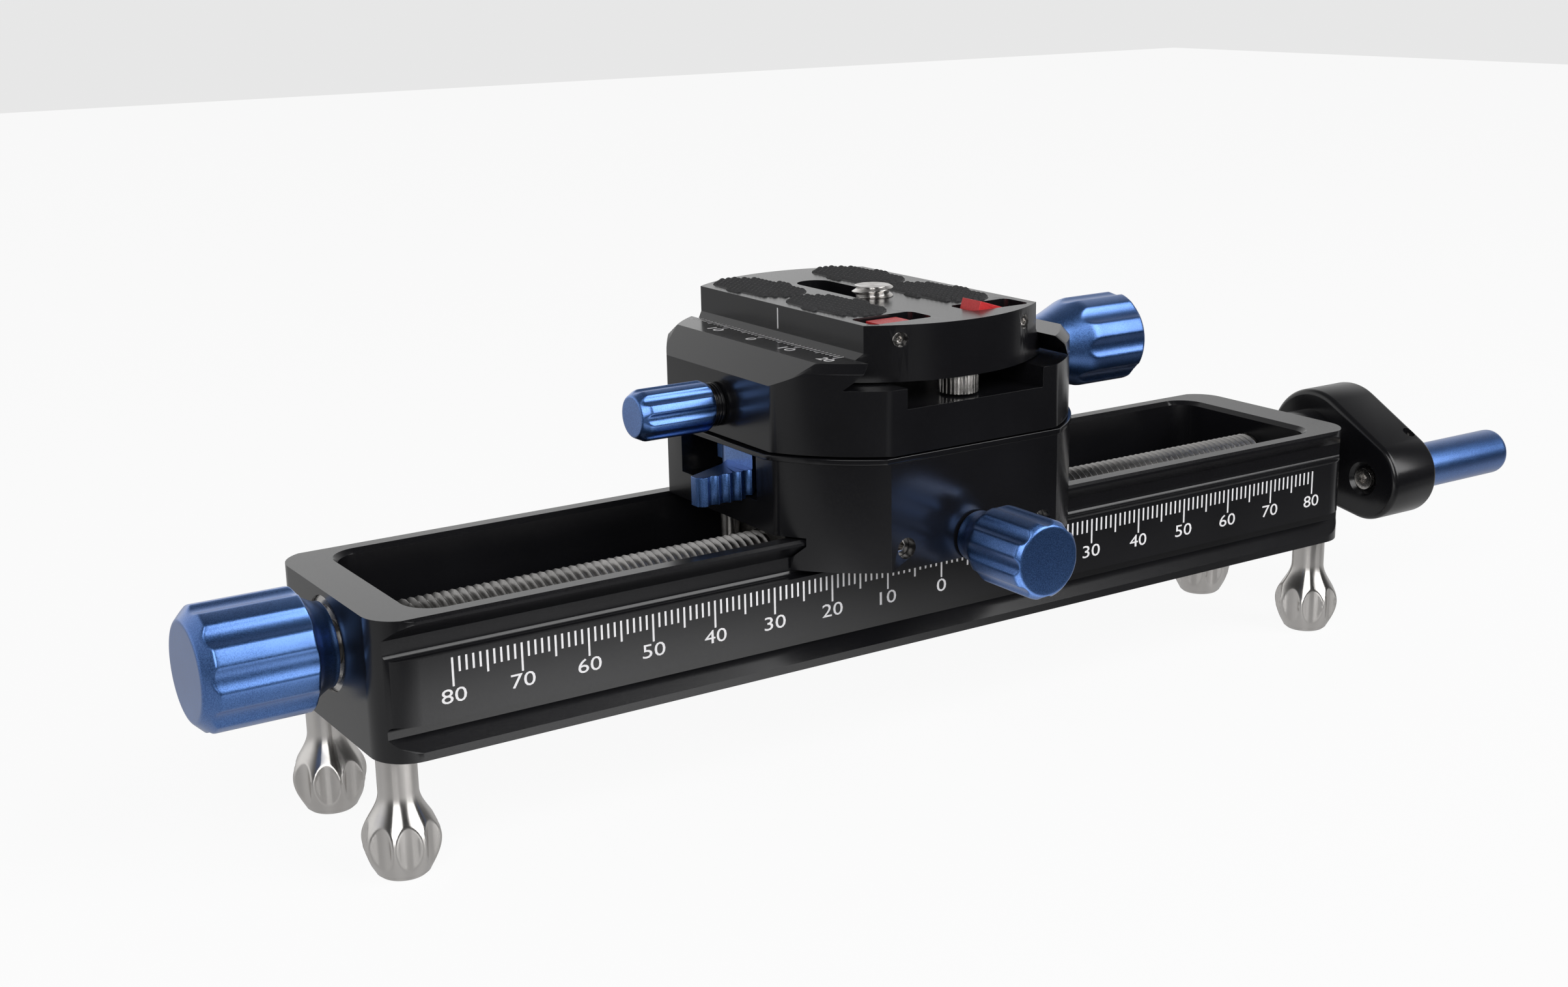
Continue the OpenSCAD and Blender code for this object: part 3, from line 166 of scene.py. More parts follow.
def satin(name, dark, light, rough, spread, relief, bump, grain, stretch=None, speckle=0.0,
          lathe=False, **fixed):
    """Finish with slow tone changes, fine grain in roughness and bump, and a speckle in colour.

    grain is the size of the grain and relief its height. A lathe finish is stretched about Z.
    """
    tree = Tree(name)
    slow = tree.noise(TONE_SCALE, TONE_DETAIL)
    fine = tree.noise(1 / (grain * MM), GRAIN_DETAIL, stretch)
    tone = tree.mapped(slow, NOISE_LOW, NOISE_HIGH, 0.0, 1.0)
    if speckle:
        dots = tree.noise(1 / (SPECKLE_MM * MM), SPECKLE_DETAIL)
        tone = tree.added(tone, tree.mapped(dots, SPECKLE_LOW, SPECKLE_HIGH, -speckle, speckle))
    tree.drive(Base_Color=tree.mixed(tone, dark, light),
               Roughness=tree.mapped(fine, NOISE_LOW, NOISE_HIGH, rough - spread, rough + spread))
    tree.bumped(fine, bump, relief * MM)
    if lathe:
        tree.turned_about_z()
    tree.fixed(fixed)
    return tree.material


COATED_IOR, PLASTIC_IOR = 1.5, 1.46
BLACK_DARK, BLACK_LIGHT = (0.0050, 0.0050, 0.0060), (0.0080, 0.0080, 0.0094)
BLACK = satin("black_anodised", BLACK_DARK, BLACK_LIGHT, rough=0.21, spread=0.04, relief=0.003,
              bump=0.5, grain=0.16, IOR=COATED_IOR)
BLACK_TURNED = satin("black_turned", BLACK_DARK, BLACK_LIGHT, rough=0.18, spread=0.03,
                     relief=0.002, bump=0.4, grain=1.0, stretch=(0.25, 0.25, 6.0), IOR=COATED_IOR)
BLUE = satin("blue_anodised", (0.055, 0.150, 0.43), (0.108, 0.250, 0.62), rough=0.36, spread=0.05,
             relief=0.008, bump=0.6, grain=0.16, speckle=0.5, Metallic=1.0, Coat_Weight=0.9,
             Coat_Roughness=0.28)
STAINLESS = satin("stainless", (0.58, 0.56, 0.54), (0.70, 0.68, 0.66), rough=0.25, spread=0.015,
                  relief=0.0012, bump=0.06, grain=1.0, stretch=(0.3, 0.3, 9.0), lathe=True,
                  Metallic=1.0, Anisotropic=0.97, Anisotropic_Rotation=0.25)
STEEL = satin("steel", (0.50, 0.48, 0.46), (0.64, 0.62, 0.60), rough=0.24, spread=0.06,
              relief=0.004, bump=0.5, grain=0.3, Metallic=1.0)
SCREW_STEEL = satin("screw_steel", (0.24, 0.235, 0.23), (0.42, 0.41, 0.40), rough=0.36,
                    spread=0.08, relief=0.01, bump=0.6, grain=0.3, Metallic=1.0)
BRASS = satin("brass", (0.55, 0.38, 0.14), (0.66, 0.47, 0.20), rough=0.28, spread=0.05,
              relief=0.004, bump=0.5, grain=0.4, Metallic=1.0)
RUBBER = satin("rubber", (0.010, 0.010, 0.011), (0.018, 0.018, 0.020), rough=0.62, spread=0.08,
               relief=0.02, bump=0.6, grain=0.12, IOR=COATED_IOR)
RED = satin("red_plastic", (0.52, 0.018, 0.022), (0.68, 0.034, 0.038), rough=0.40, spread=0.10,
            relief=0.02, bump=0.5, grain=0.25, speckle=0.4, IOR=PLASTIC_IOR)
PRINT = satin("white_print", (0.80, 0.79, 0.80), (0.88, 0.87, 0.88), rough=0.6, spread=0.05,
              relief=0.004, bump=0.4, grain=0.1)

# Mesh helpers. An edge sharper than these angles is drawn sharp.
TURNED_SHARP, FLAT_SHARP, CUT_SHARP = 50, 30, 35
THREAD_SHARP, CAMERA_SCREW_SHARP, PAD_SHARP = 28, 40, 20
MERGE_M = 1e-7
EASE_REACH = 0.5


def solid(rings):
    """Mesh data of a closed skin over rings of equally many points."""
    count = len(rings[0])
    verts = [point for ring in rings for point in ring]
    faces = [(i * count + j, i * count + (j + 1) % count,
              (i + 1) * count + (j + 1) % count, (i + 1) * count + j)
             for i in range(len(rings) - 1) for j in range(count)]
    faces.append(tuple(reversed(range(count))))
    faces.append(tuple(range((len(rings) - 1) * count, len(rings) * count)))
    return verts, faces


def joined(*solids):
    verts, faces = [], []
    for some_verts, some_faces in solids:
        start = len(verts)
        verts += list(some_verts)
        faces += [tuple(start + i for i in face) for face in some_faces]
    return verts, faces


def moved(data, matrix):
    return [matrix @ Vector(v) for v in data[0]], data[1]


def mesh_of(name, data, sharp):
    mesh = bpy.data.meshes.new(name)
    mesh.from_pydata([Vector(v) * MM for v in data[0]], [], data[1])
    work = bmesh.new()
    work.from_mesh(mesh)
    bmesh.ops.remove_doubles(work, verts=work.verts, dist=MERGE_M)
    bmesh.ops.recalc_face_normals(work, faces=work.faces)
    work.to_mesh(mesh)
    work.free()
    mesh.shade_smooth()
    mesh.set_sharp_from_angle(angle=degrees(sharp))
    return mesh


def piece(name, mesh, material, body, slot, *nodes):
    mesh.materials.clear()
    mesh.materials.append(material)
    made = bpy.data.objects.new(name, mesh)
    scene.collection.objects.link(made)
    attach(made, body)
    if nodes:
        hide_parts(*nodes)


def cut(mesh, cutters, name):
    """The mesh with the cutters' volumes taken away."""
    target = bpy.data.objects.new(name + "_whole", mesh)
    scene.collection.objects.link(target)
    tools = []
    for number, data in enumerate(cutters):
        tool_mesh = mesh_of(name + "_tool", data, CUT_SHARP)
        tool = bpy.data.objects.new(name + "_tool" + str(number), tool_mesh)
        scene.collection.objects.link(tool)
        step = target.modifiers.new("cut" + str(number), "BOOLEAN")
        step.operation = "DIFFERENCE"
        step.solver = "EXACT"
        step.object = tool
        tools.append(tool)
    depsgraph = bpy.context.evaluated_depsgraph_get()
    result = bpy.data.meshes.new_from_object(target.evaluated_get(depsgraph))
    for item in [target, *tools]:
        bpy.data.objects.remove(item)
    result.name = name
    result.shade_smooth()
    result.set_sharp_from_angle(angle=degrees(CUT_SHARP))
    return result


def eased(profile, radii, steps=5):
    """The profile with each corner replaced by a curve that starts radii[i] before it."""
    points = [Vector(profile[0])]
    for before, corner, after, radius in zip(profile, profile[1:], profile[2:], radii):
        before, corner, after = Vector(before), Vector(corner), Vector(after)
        if radius <= 0:
            points.append(corner)
            continue
        reach_in = min(radius / (corner - before).length, EASE_REACH)
        reach_out = min(radius / (after - corner).length, EASE_REACH)
        first, last = corner.lerp(before, reach_in), corner.lerp(after, reach_out)
        for i in range(steps + 1):
            t = i / steps
            points.append((1 - t) ** 2 * first + 2 * t * (1 - t) * corner + t * t * last)
    points.append(Vector(profile[-1]))
    return points


def filled(points, longest):
    """The polyline with no step longer than longest."""
    result = [points[0]]
    for a, b in zip(points, points[1:]):
        count = max(1, math.ceil((b - a).length / longest))
        result += [a.lerp(b, i / count) for i in range(1, count + 1)]
    return result


def soft_min(a, b, k):
    """The smaller of two values, rounded over a width of about k where they meet."""
    low = min(a, b)
    return low - k * math.log(math.exp((low - a) / k) + math.exp((low - b) / k))


def flute_radius(angle, count, phase, outer_r, depth, curve_r):
    """Distance from the axis to the surface of the nearest flute, or None beside the flutes."""
    pitch = TURN / count
    off = (angle - phase + pitch / 2) % pitch - pitch / 2
    centre = outer_r - depth + curve_r
    square = curve_r ** 2 - (centre * math.sin(off)) ** 2
    return centre * math.cos(off) - math.sqrt(square) if square > 0 else None


def turned(profile, segments, shape=None):
    """Rings about Z for a profile of (radius, height) points. shape may lower a radius."""
    rings = []
    for radius, height in profile:
        ring = []
        for i in range(segments):
            angle = TURN * i / segments
            r = shape(radius, angle) if shape else radius
            ring.append(Vector((r * math.cos(angle), r * math.sin(angle), height)))
        rings.append(ring)
    return solid(rings)


def placed(x, y, z, turn_axis="Z", turn_angle=0.0):
    return Matrix.Translation((x, y, z)) @ Matrix.Rotation(degrees(turn_angle), 4, turn_axis)


# Fluted knobs
FLUTE_EDGE = 0.05
FLUTE_SHARE = 0.55
FLUTE_STEPS = 18
KNOB_STEP = 0.4
CLAMP_KNOB_X, CLAMP_KNOB_Z = 24.3, 37.8
LOCK_KNOB_Y, LOCK_KNOB_Z = -27.6, 18.0
SWIVEL_KNOB_X, SWIVEL_KNOB_Z = -29.5, 36.67


def fluted_knob(name, node, body, matrix, neck, radius, start, length, bevel_l, bevel_r, face_r,
                eases, flutes, depth, phase=0.0):
    """Knob along Z. Its neck's profile leads to a fluted barrel from start to a bevelled end."""
    profile = [*neck, (radius, start), (radius, length - bevel_l), (radius - bevel_r, length),
               (face_r, length)]
    inner_r = radius - depth
    edge = radius * math.cos(math.pi / flutes * FLUTE_SHARE)
    curve_r = (inner_r ** 2 + radius ** 2 - 2 * inner_r * edge) / (2 * (edge - inner_r))

    def shape(r, angle):
        flute = flute_radius(angle, flutes, degrees(phase), radius, depth, curve_r)
        return r if flute is None else soft_min(r, flute, FLUTE_EDGE)

    data = turned(filled(eased(profile, eases), KNOB_STEP), flutes * FLUTE_STEPS, shape)
    piece(name, mesh_of(name, moved(data, matrix), TURNED_SHARP), BLUE, body, "blue_anodised",
          node)


fluted_knob("fine_knob_dressed", "fine_knob", "screw",
            placed(-SCREW_END_X, 0, SCREW_Z, "Y", -QUARTER),
            neck=[(5.0, 0.0), (6.0, 0.0), (6.0, 0.8), (7.2, 3.0)], radius=8.7, start=3.8,
            length=19.0, bevel_l=1.8, bevel_r=1.8, face_r=6.0,
            eases=[0.25, 0.8, 1.2, 0.3, 0.3, 0.4], flutes=9, depth=0.6, phase=-4.0)
fluted_knob("clamp_knob_dressed", "clamp_knob", "clamp_knob",
            placed(CLAMP_KNOB_X, 0, CLAMP_KNOB_Z, "Y", QUARTER),
            neck=[(3.2, 0.0), (4.2, 0.0), (4.2, 8.8)], radius=7.35, start=16.8, length=27.6,
            bevel_l=0.8, bevel_r=0.8, face_r=5.5, eases=[0.3, 4.5, 0.8, 0.25, 0.25], flutes=8,
            depth=0.6)
fluted_knob("lock_knob_dressed", "lock_knob", "carriage_lock",
            placed(0, LOCK_KNOB_Y, LOCK_KNOB_Z, "X", QUARTER),
            neck=[(3.0, 0.0), (3.85, 0.0), (3.85, 1.8)], radius=5.8, start=5.2, length=16.1,
            bevel_l=0.8, bevel_r=0.7, face_r=4.2, eases=[0.3, 1.0, 0.6, 0.3, 0.3], flutes=8,
            depth=0.6)
fluted_knob("swivel_knob_dressed", "swivel_lock_knob", "swivel_lock",
            placed(SWIVEL_KNOB_X, 0, SWIVEL_KNOB_Z, "Y", -QUARTER),
            neck=[(2.6, 0.0), (3.55, 0.0)], radius=3.85, start=0.6, length=12.3, bevel_l=1.4,
            bevel_r=0.8, face_r=2.4, eases=[0.15, 0.3, 0.4, 0.3], flutes=8, depth=0.45)


# Feet. The names that end in T are depths below the rail.
FOOT_X, FOOT_Y, FOOT_TOP = 86.4, 13.2, -0.1
FOOT_H = 17.2
PEG_R, PEG_H, PEG_BORE_R, PEG_STEP = 2.0, 3.6, 1.0, 0.2
STEM_R, BULB_R, RIM_R, BASE_R = 2.75, 5.4, 3.8, 3.7
NECK_T, BULB_T, RIM_T = 5.35, 12.1, 16.6
BASE_FROM, BASE_TO, BASE_BEVEL = 0.05, 0.2, 0.45
SCOOPS, SCOOP_DEPTH, SCOOP_R, SCOOP_EDGE = 8, 1.0, 2.57, 0.03
FOOT_SEGMENTS, FOOT_STEPS, FOOT_STEP = 128, 22, 0.3


def foot_profile():
    """The peg in the rail, a cosine down the stem to the bulb, and a quarter of an ellipse."""
    points = [(PEG_BORE_R, PEG_H), (PEG_R, PEG_H), (PEG_R, -PEG_STEP), (STEM_R, -PEG_STEP)]
    for i in range(FOOT_STEPS + 1):
        t = i / FOOT_STEPS
        ease = (1 - math.cos(math.pi * t)) / 2
        points.append((STEM_R + (BULB_R - STEM_R) * ease, -NECK_T - (BULB_T - NECK_T) * t))
    for i in range(1, FOOT_STEPS + 1):
        t = i / FOOT_STEPS
        points.append((RIM_R + (BULB_R - RIM_R) * math.cos(math.pi / 2 * t),
                       -BULB_T - (RIM_T - BULB_T) * t))
    points += [(BASE_R, -RIM_T - BASE_FROM), (BASE_R, -RIM_T - BASE_TO),
               (BASE_R - BASE_BEVEL, -FOOT_H), (PEG_R, -FOOT_H)]
    return filled([Vector(p) for p in points], FOOT_STEP)


def foot_shape(phase):
    def shape(radius, angle):
        scoop = flute_radius(angle, SCOOPS, phase, BULB_R, SCOOP_DEPTH, SCOOP_R)
        return radius if scoop is None else soft_min(radius, scoop, SCOOP_EDGE)
    return shape


for foot, side_x, side_y, phase in (
        ("foot_front_left", -1, -1, 35.0), ("foot_front_right", 1, -1, 12.0),
        ("foot_back_left", -1, 1, 20.0), ("foot_back_right", 1, 1, 30.0)):
    data = moved(turned(foot_profile(), FOOT_SEGMENTS, foot_shape(degrees(phase))),
                 placed(side_x * FOOT_X, side_y * FOOT_Y, FOOT_TOP))
    piece(foot + "_turned", mesh_of(foot, data, TURNED_SHARP), STAINLESS, foot, "stainless", foot)


# Lead screw. Each thread station is a share of the pitch and a drop from the crest.
THREAD_R, THREAD_PITCH, THREAD_HALF = 4.0, 1.25, 83.7
THREAD_STEPS = 20
THREAD_SPARE = 1
THREAD_PROFILE = ((0.0, -0.04), (0.03, 0.0), (0.10, 0.0), (0.13, -0.04),
                  (0.44, -0.70), (0.50, -0.73), (0.63, -0.73), (0.69, -0.70))
JOURNAL_R, JOURNAL_BEVEL = 3.0, 0.3
JOURNAL_X0, JOURNAL_X1 = -106.3, 110.1


def lead_screw():
    """A helical skin with a spare turn squeezed flat at each end, and the shaft that closes it."""
    per_turn = len(THREAD_PROFILE)
    turns = math.ceil(2 * THREAD_HALF / THREAD_PITCH) + 2 * THREAD_SPARE
    last = turns * per_turn
    verts, faces = [], []
    for station in range(last):
        share, drop = THREAD_PROFILE[station % per_turn]
        along = -THREAD_HALF + (station // per_turn - THREAD_SPARE + share) * THREAD_PITCH
        for i in range(THREAD_STEPS):
            angle = TURN * i / THREAD_STEPS
            x = along + THREAD_PITCH * i / THREAD_STEPS
            r = THREAD_R + drop if abs(x) < THREAD_HALF else JOURNAL_R
            x = max(-THREAD_HALF, min(THREAD_HALF, x))
            verts.append((x, r * math.cos(angle), SCREW_Z + r * math.sin(angle)))
    for station in range(last - 1):
        for i in range(THREAD_STEPS):
            a = station * THREAD_STEPS + i
            if i + 1 < THREAD_STEPS:
                b = a + 1
            elif station + per_turn < last - 1:
                b = (station + per_turn) * THREAD_STEPS
            else:
                continue
            faces.append((a, b, b + THREAD_STEPS, a + THREAD_STEPS))
    end_r = JOURNAL_R - JOURNAL_BEVEL
    journals = [(end_r, JOURNAL_X0), (JOURNAL_R, JOURNAL_X0 + JOURNAL_BEVEL),
                (JOURNAL_R, JOURNAL_X1 - JOURNAL_BEVEL), (end_r, JOURNAL_X1)]
    shaft = moved(turned(journals, THREAD_STEPS * 2), placed(0, 0, SCREW_Z, "Y", QUARTER))
    return joined((verts, faces), shaft)


piece("lead_screw_threaded", mesh_of("lead_screw", lead_screw(), THREAD_SHARP), SCREW_STEEL,
      "screw", "screw_steel", "lead_screw")


# Crank
ARM_X0, ARM_X1 = 100.1, 111.3
ARM_BIG_R, ARM_SMALL_R, ARM_THROW, ARM_ANGLE = 9.8, 7.5, 13.44, 199.1
ARM_EASE, ARM_EASE_STEPS, ARM_END_STEPS = 1.0, 6, 40
HUB_R, HUB_BORE_R, HUB_L, HUB_EASE, HUB_SEGMENTS = 6.2, 4.5, 11.0, 0.35, 96
HANDLE_X, HANDLE_Y, HANDLE_Z = 111.6, -12.70, 7.602
HANDLE_R, HANDLE_BORE_R, HANDLE_FACE_R, HANDLE_L = 4.1, 2.0, 3.0, 23.6
HANDLE_EASES, HANDLE_EASE_STEPS, HANDLE_SEGMENTS = (0.35, 1.1), 8, 96
SINK_R, SINK_SEAT_R, SINK_RIM_R, SINK_SEGMENTS = 2.0, 3.0, 3.1, 64
SINK_FLOOR, SINK_TO, SINK_SEAT, SINK_OUT = 3.4, 1.1, 0.1, -1.0
GRUB_R, GRUB_FROM, GRUB_TO, GRUB_SEGMENTS = 1.12, 3.8, 9.0, 48
GRUB_X, GRUB_TILT = 109.7, 13


def link_points(inset):
    """Outline of the arm in (y, z) about the screw's axis, moved inwards by inset."""
    half = math.acos((ARM_BIG_R - ARM_SMALL_R) / ARM_THROW)
    turn = degrees(ARM_ANGLE)
    points = []
    for centre, radius, start, sweep in (
            (ARM_THROW, ARM_SMALL_R - inset, -half, 2 * half),
            (0.0, ARM_BIG_R - inset, half, TURN - 2 * half)):
        for i in range(ARM_END_STEPS + 1):
            angle = start + sweep * i / ARM_END_STEPS
            y, z = centre + radius * math.cos(angle), radius * math.sin(angle)
            points.append((y * math.cos(turn) - z * math.sin(turn),
                           y * math.sin(turn) + z * math.cos(turn) + SCREW_Z))
    return points


def rounded_slab(outline, x0, x1, ease, steps):
    """A slab between x0 and x1 whose two rims are rounded by ease."""
    rings = []
    for side, edge in ((-1, x0), (1, x1)):
        for i in range(steps + 1):
            angle = math.pi / 2 * (i / steps if side < 0 else 1 - i / steps)
            x = edge - side * ease * (1 - math.cos(angle))
            rings.append([Vector((x, y, z)) for y, z in outline(ease * (1 - math.sin(angle)))])
    return solid(rings)


def crank_arm():
    arm = rounded_slab(link_points, ARM_X0, ARM_X1, ARM_EASE, ARM_EASE_STEPS)
    hub_profile = [(HUB_BORE_R, 0.0), (HUB_R, 0.0), (HUB_R, HUB_L), (HUB_BORE_R, HUB_L)]
    hub = moved(turned(eased(hub_profile, [HUB_EASE, 0.0]), HUB_SEGMENTS),
                placed(SCREW_END_X, 0, SCREW_Z, "Y", QUARTER))
    sink_profile = [(SINK_RIM_R, SINK_OUT), (SINK_RIM_R, 0.0), (SINK_SEAT_R, SINK_SEAT),
                    (SINK_R, SINK_TO), (SINK_R, SINK_FLOOR)]
    sink = moved(turned(sink_profile, SINK_SEGMENTS),
                 placed(ARM_X0, HANDLE_Y, HANDLE_Z, "Y", QUARTER))
    grub = moved(turned([(GRUB_R, GRUB_FROM), (GRUB_R, GRUB_TO)], GRUB_SEGMENTS),
                 placed(GRUB_X, HANDLE_Y, HANDLE_Z, "X", GRUB_TILT))
    whole = mesh_of("crank_arm", joined(arm, hub), CUT_SHARP)
    return cut(whole, [sink, grub], "crank_arm_cut")


piece("crank_arm_rounded", crank_arm(), BLACK, "screw", "black_anodised", "crank_arm")

handle_profile = [(HANDLE_BORE_R, 0.0), (HANDLE_R, 0.0), (HANDLE_R, HANDLE_L),
                  (HANDLE_FACE_R, HANDLE_L)]
handle = moved(turned(eased(handle_profile, HANDLE_EASES, HANDLE_EASE_STEPS), HANDLE_SEGMENTS),
               placed(HANDLE_X, HANDLE_Y, HANDLE_Z, "Y", QUARTER))
piece("crank_handle_rounded", mesh_of("crank_handle", handle, TURNED_SHARP), BLUE, "handle",
      "blue_anodised", "crank_handle")


# Camera screw: a head under the plate and a threaded end above it, 20 threads to the inch
CAMERA_SCREW_Y = -1.5
HEAD_Z, HEAD_H, HEAD_R, HEAD_FACE_R, SHANK_R = 42.3, 2.7, 4.9, 3.6, 2.5
CAMERA_THREAD_PITCH, CAMERA_THREAD_START = 1.27, 0.35
THREAD_FROM, THREAD_TO, SHANK_TO = 0.05, 1.7, 0.1
ROOT_R, CREST_R, RIDGE_H, RIDGE_SHARE, RIDGE_GAIN = 2.55, 3.17, 0.62, 0.34, 1.15
TIP_R, TIP_SLOPE = 2.75, 1.6
CAMERA_SCREW_SEGMENTS, CAMERA_THREAD_STEPS = 64, 34


def camera_screw():
    profile = [(HEAD_FACE_R, HEAD_Z), (HEAD_R, HEAD_Z), (HEAD_R, HEAD_Z + HEAD_H),
               (SHANK_R, HEAD_Z + HEAD_H), (SHANK_R, PLATE_TOP + SHANK_TO)]
    head = turned(profile, CAMERA_SCREW_SEGMENTS)
    rings = []
    for i in range(CAMERA_THREAD_STEPS + 1):
        up = (THREAD_TO - THREAD_FROM) * i / CAMERA_THREAD_STEPS
        ring = []
        for j in range(CAMERA_SCREW_SEGMENTS):
            angle = TURN * j / CAMERA_SCREW_SEGMENTS
            share = (up / CAMERA_THREAD_PITCH - angle / TURN + CAMERA_THREAD_START) % 1.0
            ridge = max(0.0, 1 - abs(share - 0.5) / RIDGE_SHARE)
            tip = TIP_R + (THREAD_TO - THREAD_FROM - up) * TIP_SLOPE
            r = min(ROOT_R + RIDGE_H * min(1.0, RIDGE_GAIN * ridge), tip, CREST_R)
            ring.append(Vector((r * math.cos(angle), r * math.sin(angle),
                                PLATE_TOP + THREAD_FROM + up)))
        rings.append(ring)
    return moved(joined(head, solid(rings)), placed(0, CAMERA_SCREW_Y, 0))


piece("camera_screw_threaded", mesh_of("camera_screw", camera_screw(), CAMERA_SCREW_SHARP),
      STAINLESS, "camera_screw", "stainless", "camera_screw")


# Rubber pads: super-ellipses with rows of small pyramids. A rim's pairs are heights above the
# plate and insets, and a bump's are shares of its height and half widths.
PAD_X, PAD_NEAR_Y, PAD_FAR_Y = 9.5, -5.3, 15.9
PAD_W, PAD_L, PAD_POWER, PAD_SEGMENTS = 9.8, 20.0, 2.6, 72
PAD_SINK = 0.6
PAD_RIM = ((-PAD_SINK, 0.0), (-0.02, 0.0), (0.06, 0.10))
BUMP_PITCH, BUMP_H, BUMP_INSIDE = 1.15, 0.5, 0.5
BUMP_LAYERS = ((0.0, BUMP_PITCH / 2), (0.75, 0.30), (1.0, 0.132))
CORNERS = ((-1, -1), (1, -1), (1, 1), (-1, 1))


def pad_edge(angle, inset):
    c, s = math.cos(angle), math.sin(angle)
    return ((PAD_W / 2 - inset) * math.copysign(abs(c) ** (2 / PAD_POWER), c),
            (PAD_L / 2 - inset) * math.copysign(abs(s) ** (2 / PAD_POWER), s))


def on_pad(x, y):
    """Whether a bump at this place stays inside the pad's edge."""
    reach = BUMP_PITCH / 2 * BUMP_INSIDE
    return (((abs(x) + reach) / (PAD_W / 2)) ** PAD_POWER
            + ((abs(y) + reach) / (PAD_L / 2)) ** PAD_POWER) <= 1


def pad(centre_x, centre_y):
    parts = [solid([[Vector((*pad_edge(TURN * i / PAD_SEGMENTS, inset), PLATE_TOP + height))
                     for i in range(PAD_SEGMENTS)] for height, inset in PAD_RIM])]
    rows = math.ceil(PAD_L / BUMP_PITCH / 2)
    columns = math.ceil(PAD_W / BUMP_PITCH / 2)
    for row in range(-rows, rows + 1):
        for column in range(-columns, columns + 1):
            x, y = column * BUMP_PITCH, row * BUMP_PITCH
            if on_pad(x, y):
                parts.append(solid([
                    [Vector((x + size * sx, y + size * sy, PLATE_TOP + BUMP_H * share))
                     for sx, sy in CORNERS] for share, size in BUMP_LAYERS]))
    return moved(joined(*parts), placed(centre_x, centre_y, 0))


pads = joined(*[pad(sign * PAD_X, y) for sign in (-1, 1) for y in (PAD_NEAR_Y, PAD_FAR_Y)])
piece("rubber_pads_bumped", mesh_of("rubber_pads", pads, PAD_SHARP), RUBBER, "plate",
      "rubber_pads", "rubber_pads")


# Printed scales, with ticks in three lengths: at tens, at fives and between
PRINT_H = 0.02
PRINT_SINK = 0.01
FONT_CURVE_STEPS, FONT_HALF_T = 3, 0.5
FRONT_END, FRONT_TICK_Z, FRONT_LABEL_Y = 80, 13.45, -6.25
FRONT_TICKS, FRONT_TICK_WIDTHS = (4.0, 3.0, 2.1), (0.30, 0.30, 0.30)
FRONT_LABEL_H, FRONT_LABEL_WIDTHS = 2.0, {"0": 1.75, "10": 3.0}
FRONT_LABEL_W = 3.6
CROSS_END, CROSS_LABEL_Y, CROSS_LABELS = 20, -3.9, (-10, 0, 10, 20)
CROSS_TICKS, CROSS_TICK_WIDTHS = (1.9, 1.5, 1.1), (0.22, 0.22, 0.24)
CROSS_LABEL_H, CROSS_LABEL_WIDTHS, CROSS_LABEL_W = 1.7, {"0": 1.5}, 2.9
CROSS_X, CROSS_ZERO_Y, CROSS_Z = -16.9, 1.97, 45.26
INDEX_X, INDEX_Y, INDEX_HALF_W, INDEX_Z0, INDEX_Z1 = -15.8, 0.9, 0.15, 46.5, 49.65
LABEL_EVERY, MIDDLE_EVERY = 10, 5


def block(x0, x1, y0, y1, z0, z1):
    corners = ((x0, y0), (x1, y0), (x1, y1), (x0, y1))
    return solid([[Vector((x, y, z)) for x, y in corners] for z in (z0, z1)])


def numeral(text, width, height):
    """Flat numeral in X and Y, middle of its foot at the origin, PRINT_H + PRINT_SINK thick."""
    curve = bpy.data.curves.new("numeral", "FONT")
    curve.body = text
    curve.resolution_u = FONT_CURVE_STEPS
    curve.extrude = FONT_HALF_T
    holder = bpy.data.objects.new("numeral", curve)
    scene.collection.objects.link(holder)
    depsgraph = bpy.context.evaluated_depsgraph_get()
    mesh = bpy.data.meshes.new_from_object(holder.evaluated_get(depsgraph))
    verts = [v.co.copy() for v in mesh.vertices]
    faces = [tuple(p.vertices) for p in mesh.polygons]
    bpy.data.objects.remove(holder)
    bpy.data.curves.remove(curve)
    bpy.data.meshes.remove(mesh)
    low = Vector(map(min, *verts))
    high = Vector(map(max, *verts))
    thickness = (PRINT_H + PRINT_SINK) / (2 * FONT_HALF_T)
    scaled = [Vector(((v.x - (low.x + high.x) / 2) * width / (high.x - low.x),
                      (v.y - low.y) * height / (high.y - low.y),
                      (v.z + FONT_HALF_T) * thickness - PRINT_SINK)) for v in verts]
    return scaled, faces


def scale_marks(end, lengths, widths):
    """Ticks along X from -end to end, hanging down from Y = 0, on the face Z = 0."""
    parts = []
    for value in range(-end, end + 1):
        kind = 0 if value % LABEL_EVERY == 0 else 1 if value % MIDDLE_EVERY == 0 else 2
        parts.append(block(value - widths[kind] / 2, value + widths[kind] / 2,
                           -lengths[kind], 0.0, -PRINT_SINK, PRINT_H))
    return parts


def labels(values, foot_y, height, widths, usual_width):
    """A numeral under each value. widths holds the labels that aren't as wide as usual."""
    return [moved(numeral(str(abs(value)), widths.get(str(abs(value)), usual_width), height),
                  placed(value, foot_y, 0)) for value in values]


front = scale_marks(FRONT_END, FRONT_TICKS, FRONT_TICK_WIDTHS)
front += labels(range(-FRONT_END, FRONT_END + 1, LABEL_EVERY), FRONT_LABEL_Y, FRONT_LABEL_H,
                FRONT_LABEL_WIDTHS, FRONT_LABEL_W)
front_place = placed(0, -RAIL_W / 2, FRONT_TICK_Z, "X", QUARTER)
piece("rail_scale", mesh_of("rail_scale", moved(joined(*front), front_place), FLAT_SHARP), PRINT,
      "rail", "black_anodised")

cross = scale_marks(CROSS_END, CROSS_TICKS, CROSS_TICK_WIDTHS)
cross += labels(CROSS_LABELS, CROSS_LABEL_Y, CROSS_LABEL_H, CROSS_LABEL_WIDTHS, CROSS_LABEL_W)
